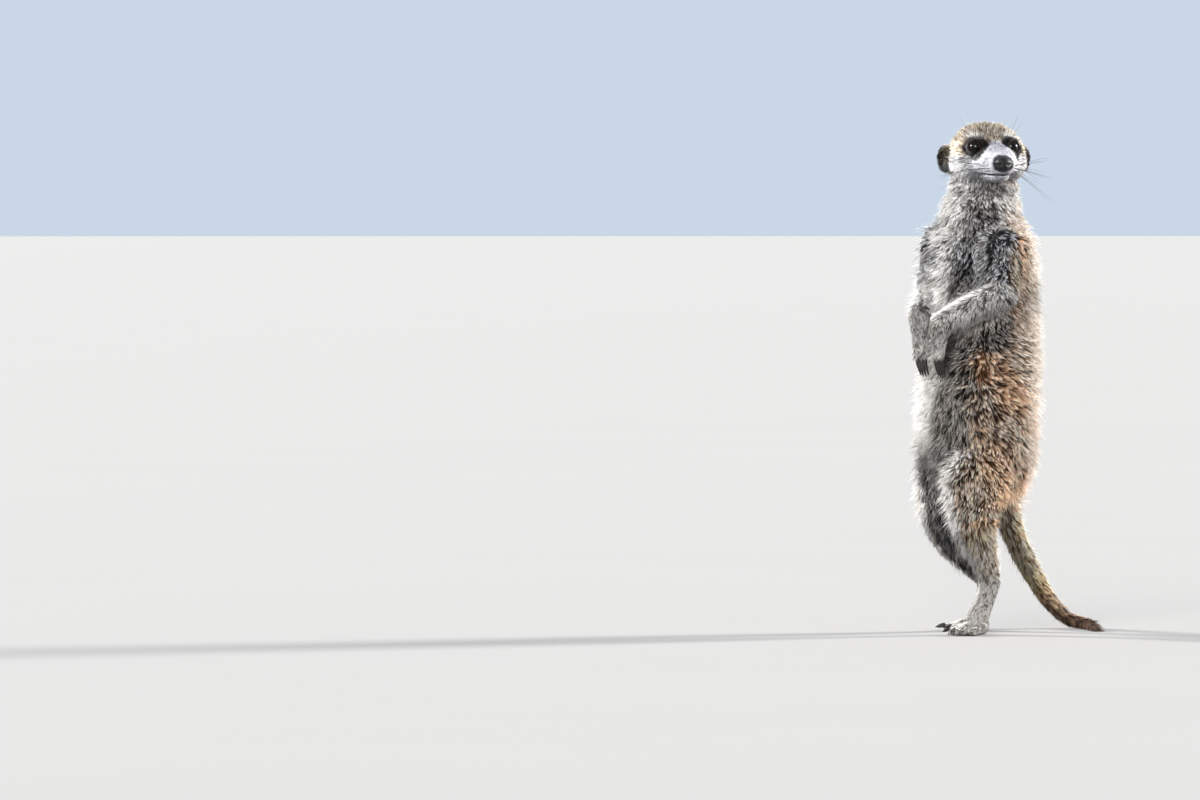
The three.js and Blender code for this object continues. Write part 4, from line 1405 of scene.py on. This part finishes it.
def whisker_mesh():
    """Long stiff hairs on the lips, chin, brows and cheeks."""
    tree = tree_of(skin_points, skin_triangles.tolist())
    rng = np.random.default_rng(7)
    points, triangles, offset = [], [], 0
    for sign in SIDES.values():
        for x, y, z, dx, dy, dz, length in WHISKERS:
            root = tree.find_nearest(Vector(from_head(np.array([sign * x, y, z]))))[0]
            way = unit(np.array([sign * dx, dy, dz]) + rng.normal(0, 0.06, 3)) @ HEAD_AXES
            length = length * rng.uniform(0.88, 1.1)
            fall = WHISKER["sag"] * rng.uniform(0.2, 1.3) * (0.3 if dz > 0.6 else 1)
            made, corners = whisker(root, way, length, fall)
            points.append(made)
            triangles.append(corners + offset)
            offset += len(made)
    return mesh_of("whiskers", np.concatenate(points), np.concatenate(triangles))


WHISKER_COLOURS = (0.010, 0.008, 0.007), (0.05, 0.042, 0.038)
whiskers = new_object("whiskers", whisker_mesh())
whisker_horn = mottled_material("whisker_horn", 300.0, 2.0, *WHISKER_COLOURS, 0.4)
whiskers.data.materials.append(whisker_horn)
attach(whiskers, "root")

# ---------------------------------------------------------------- camera, floor and light
VIEW_AZIMUTH = math.radians(68)
CAMERA_DISTANCE = 4.5
CAMERA_HEIGHT = 0.235
SCALE_PER_WIDTH = 0.587 * 1200 * MM  # metres across the whole picture at the animal
ASIDE = 380 / 1200 * SCALE_PER_WIDTH  # the animal stands right of the picture's middle
HORIZON_UP = 168 / 1200  # of the picture's width, above its middle


def place_camera():
    """The photo's camera; returns the direction away from it, along the floor."""
    belly = centre("belly")
    away = Vector((-math.sin(VIEW_AZIMUTH), math.cos(VIEW_AZIMUTH), 0))
    data = bpy.data.cameras.new("camera")
    data.sensor_width = 36.0
    data.lens = 36.0 * CAMERA_DISTANCE / SCALE_PER_WIDTH
    data.clip_end = 1000
    camera = new_object("camera", data)
    camera.location = belly - away * CAMERA_DISTANCE
    camera.location.z = CAMERA_HEIGHT
    aside = math.atan(ASIDE / CAMERA_DISTANCE)
    down = math.atan(HORIZON_UP * SCALE_PER_WIDTH / CAMERA_DISTANCE)
    camera.rotation_euler = (math.pi / 2 - down, 0, VIEW_AZIMUTH + aside)
    bpy.context.scene.camera = camera
    return away


FLOOR_COLOUR = np.array((0.215, 0.208, 0.201))
FLOOR_SIZE = 400  # metres, to the horizon


def build_stage():
    """A pale floor that runs on to the horizon."""
    mesh = bpy.data.meshes.new("floor")
    edit(mesh, lambda bm: bmesh.ops.create_grid(bm, x_segments=8, y_segments=8, size=FLOOR_SIZE))
    dark, pale = FLOOR_COLOUR * 0.97, FLOOR_COLOUR * 1.02
    mesh.materials.append(mottled_material("pale_floor", 3.0, 3.0, dark, pale, 0.9))
    floor = new_object("floor", mesh)


def sun(name, way, strength, spread, colour):
    """A distant lamp that shines along a way, soft at its edges."""
    data = bpy.data.lights.new(name, "SUN")
    data.energy = strength
    data.angle = math.radians(spread)
    data.color = colour
    lamp = new_object(name, data)
    lamp.rotation_euler = Vector(way).to_track_quat("-Z", "Y").to_euler()


def light_scene(away):
    """A cool even sky, two bright rims from behind and a wide soft lamp in front."""
    right = Vector((math.cos(VIEW_AZIMUTH), math.sin(VIEW_AZIMUTH), 0))
    down = Vector((0, 0, -1))
    sun("left_rim", right * 1.0 - away * 0.45 + down * 0.36, 9.5, 12, (1, 0.99, 0.97))
    sun("right_rim", -right * 1.0 - away * 0.45 + down * 0.36, 9.5, 12, (1, 0.98, 0.94))
    sun("front", away * 1.0 + right * 0.25 + down * 0.33, 4.9, 35, (1, 0.99, 0.97))
    world = bpy.data.worlds.new("studio")
    world.use_nodes = True
    put(world.node_tree.nodes["Background"], Color=(0.74, 0.85, 1.0, 1), Strength=0.8)
    bpy.context.scene.world = world


light_scene(place_camera())
build_stage()
bpy.context.scene.view_settings.view_transform = "Standard"
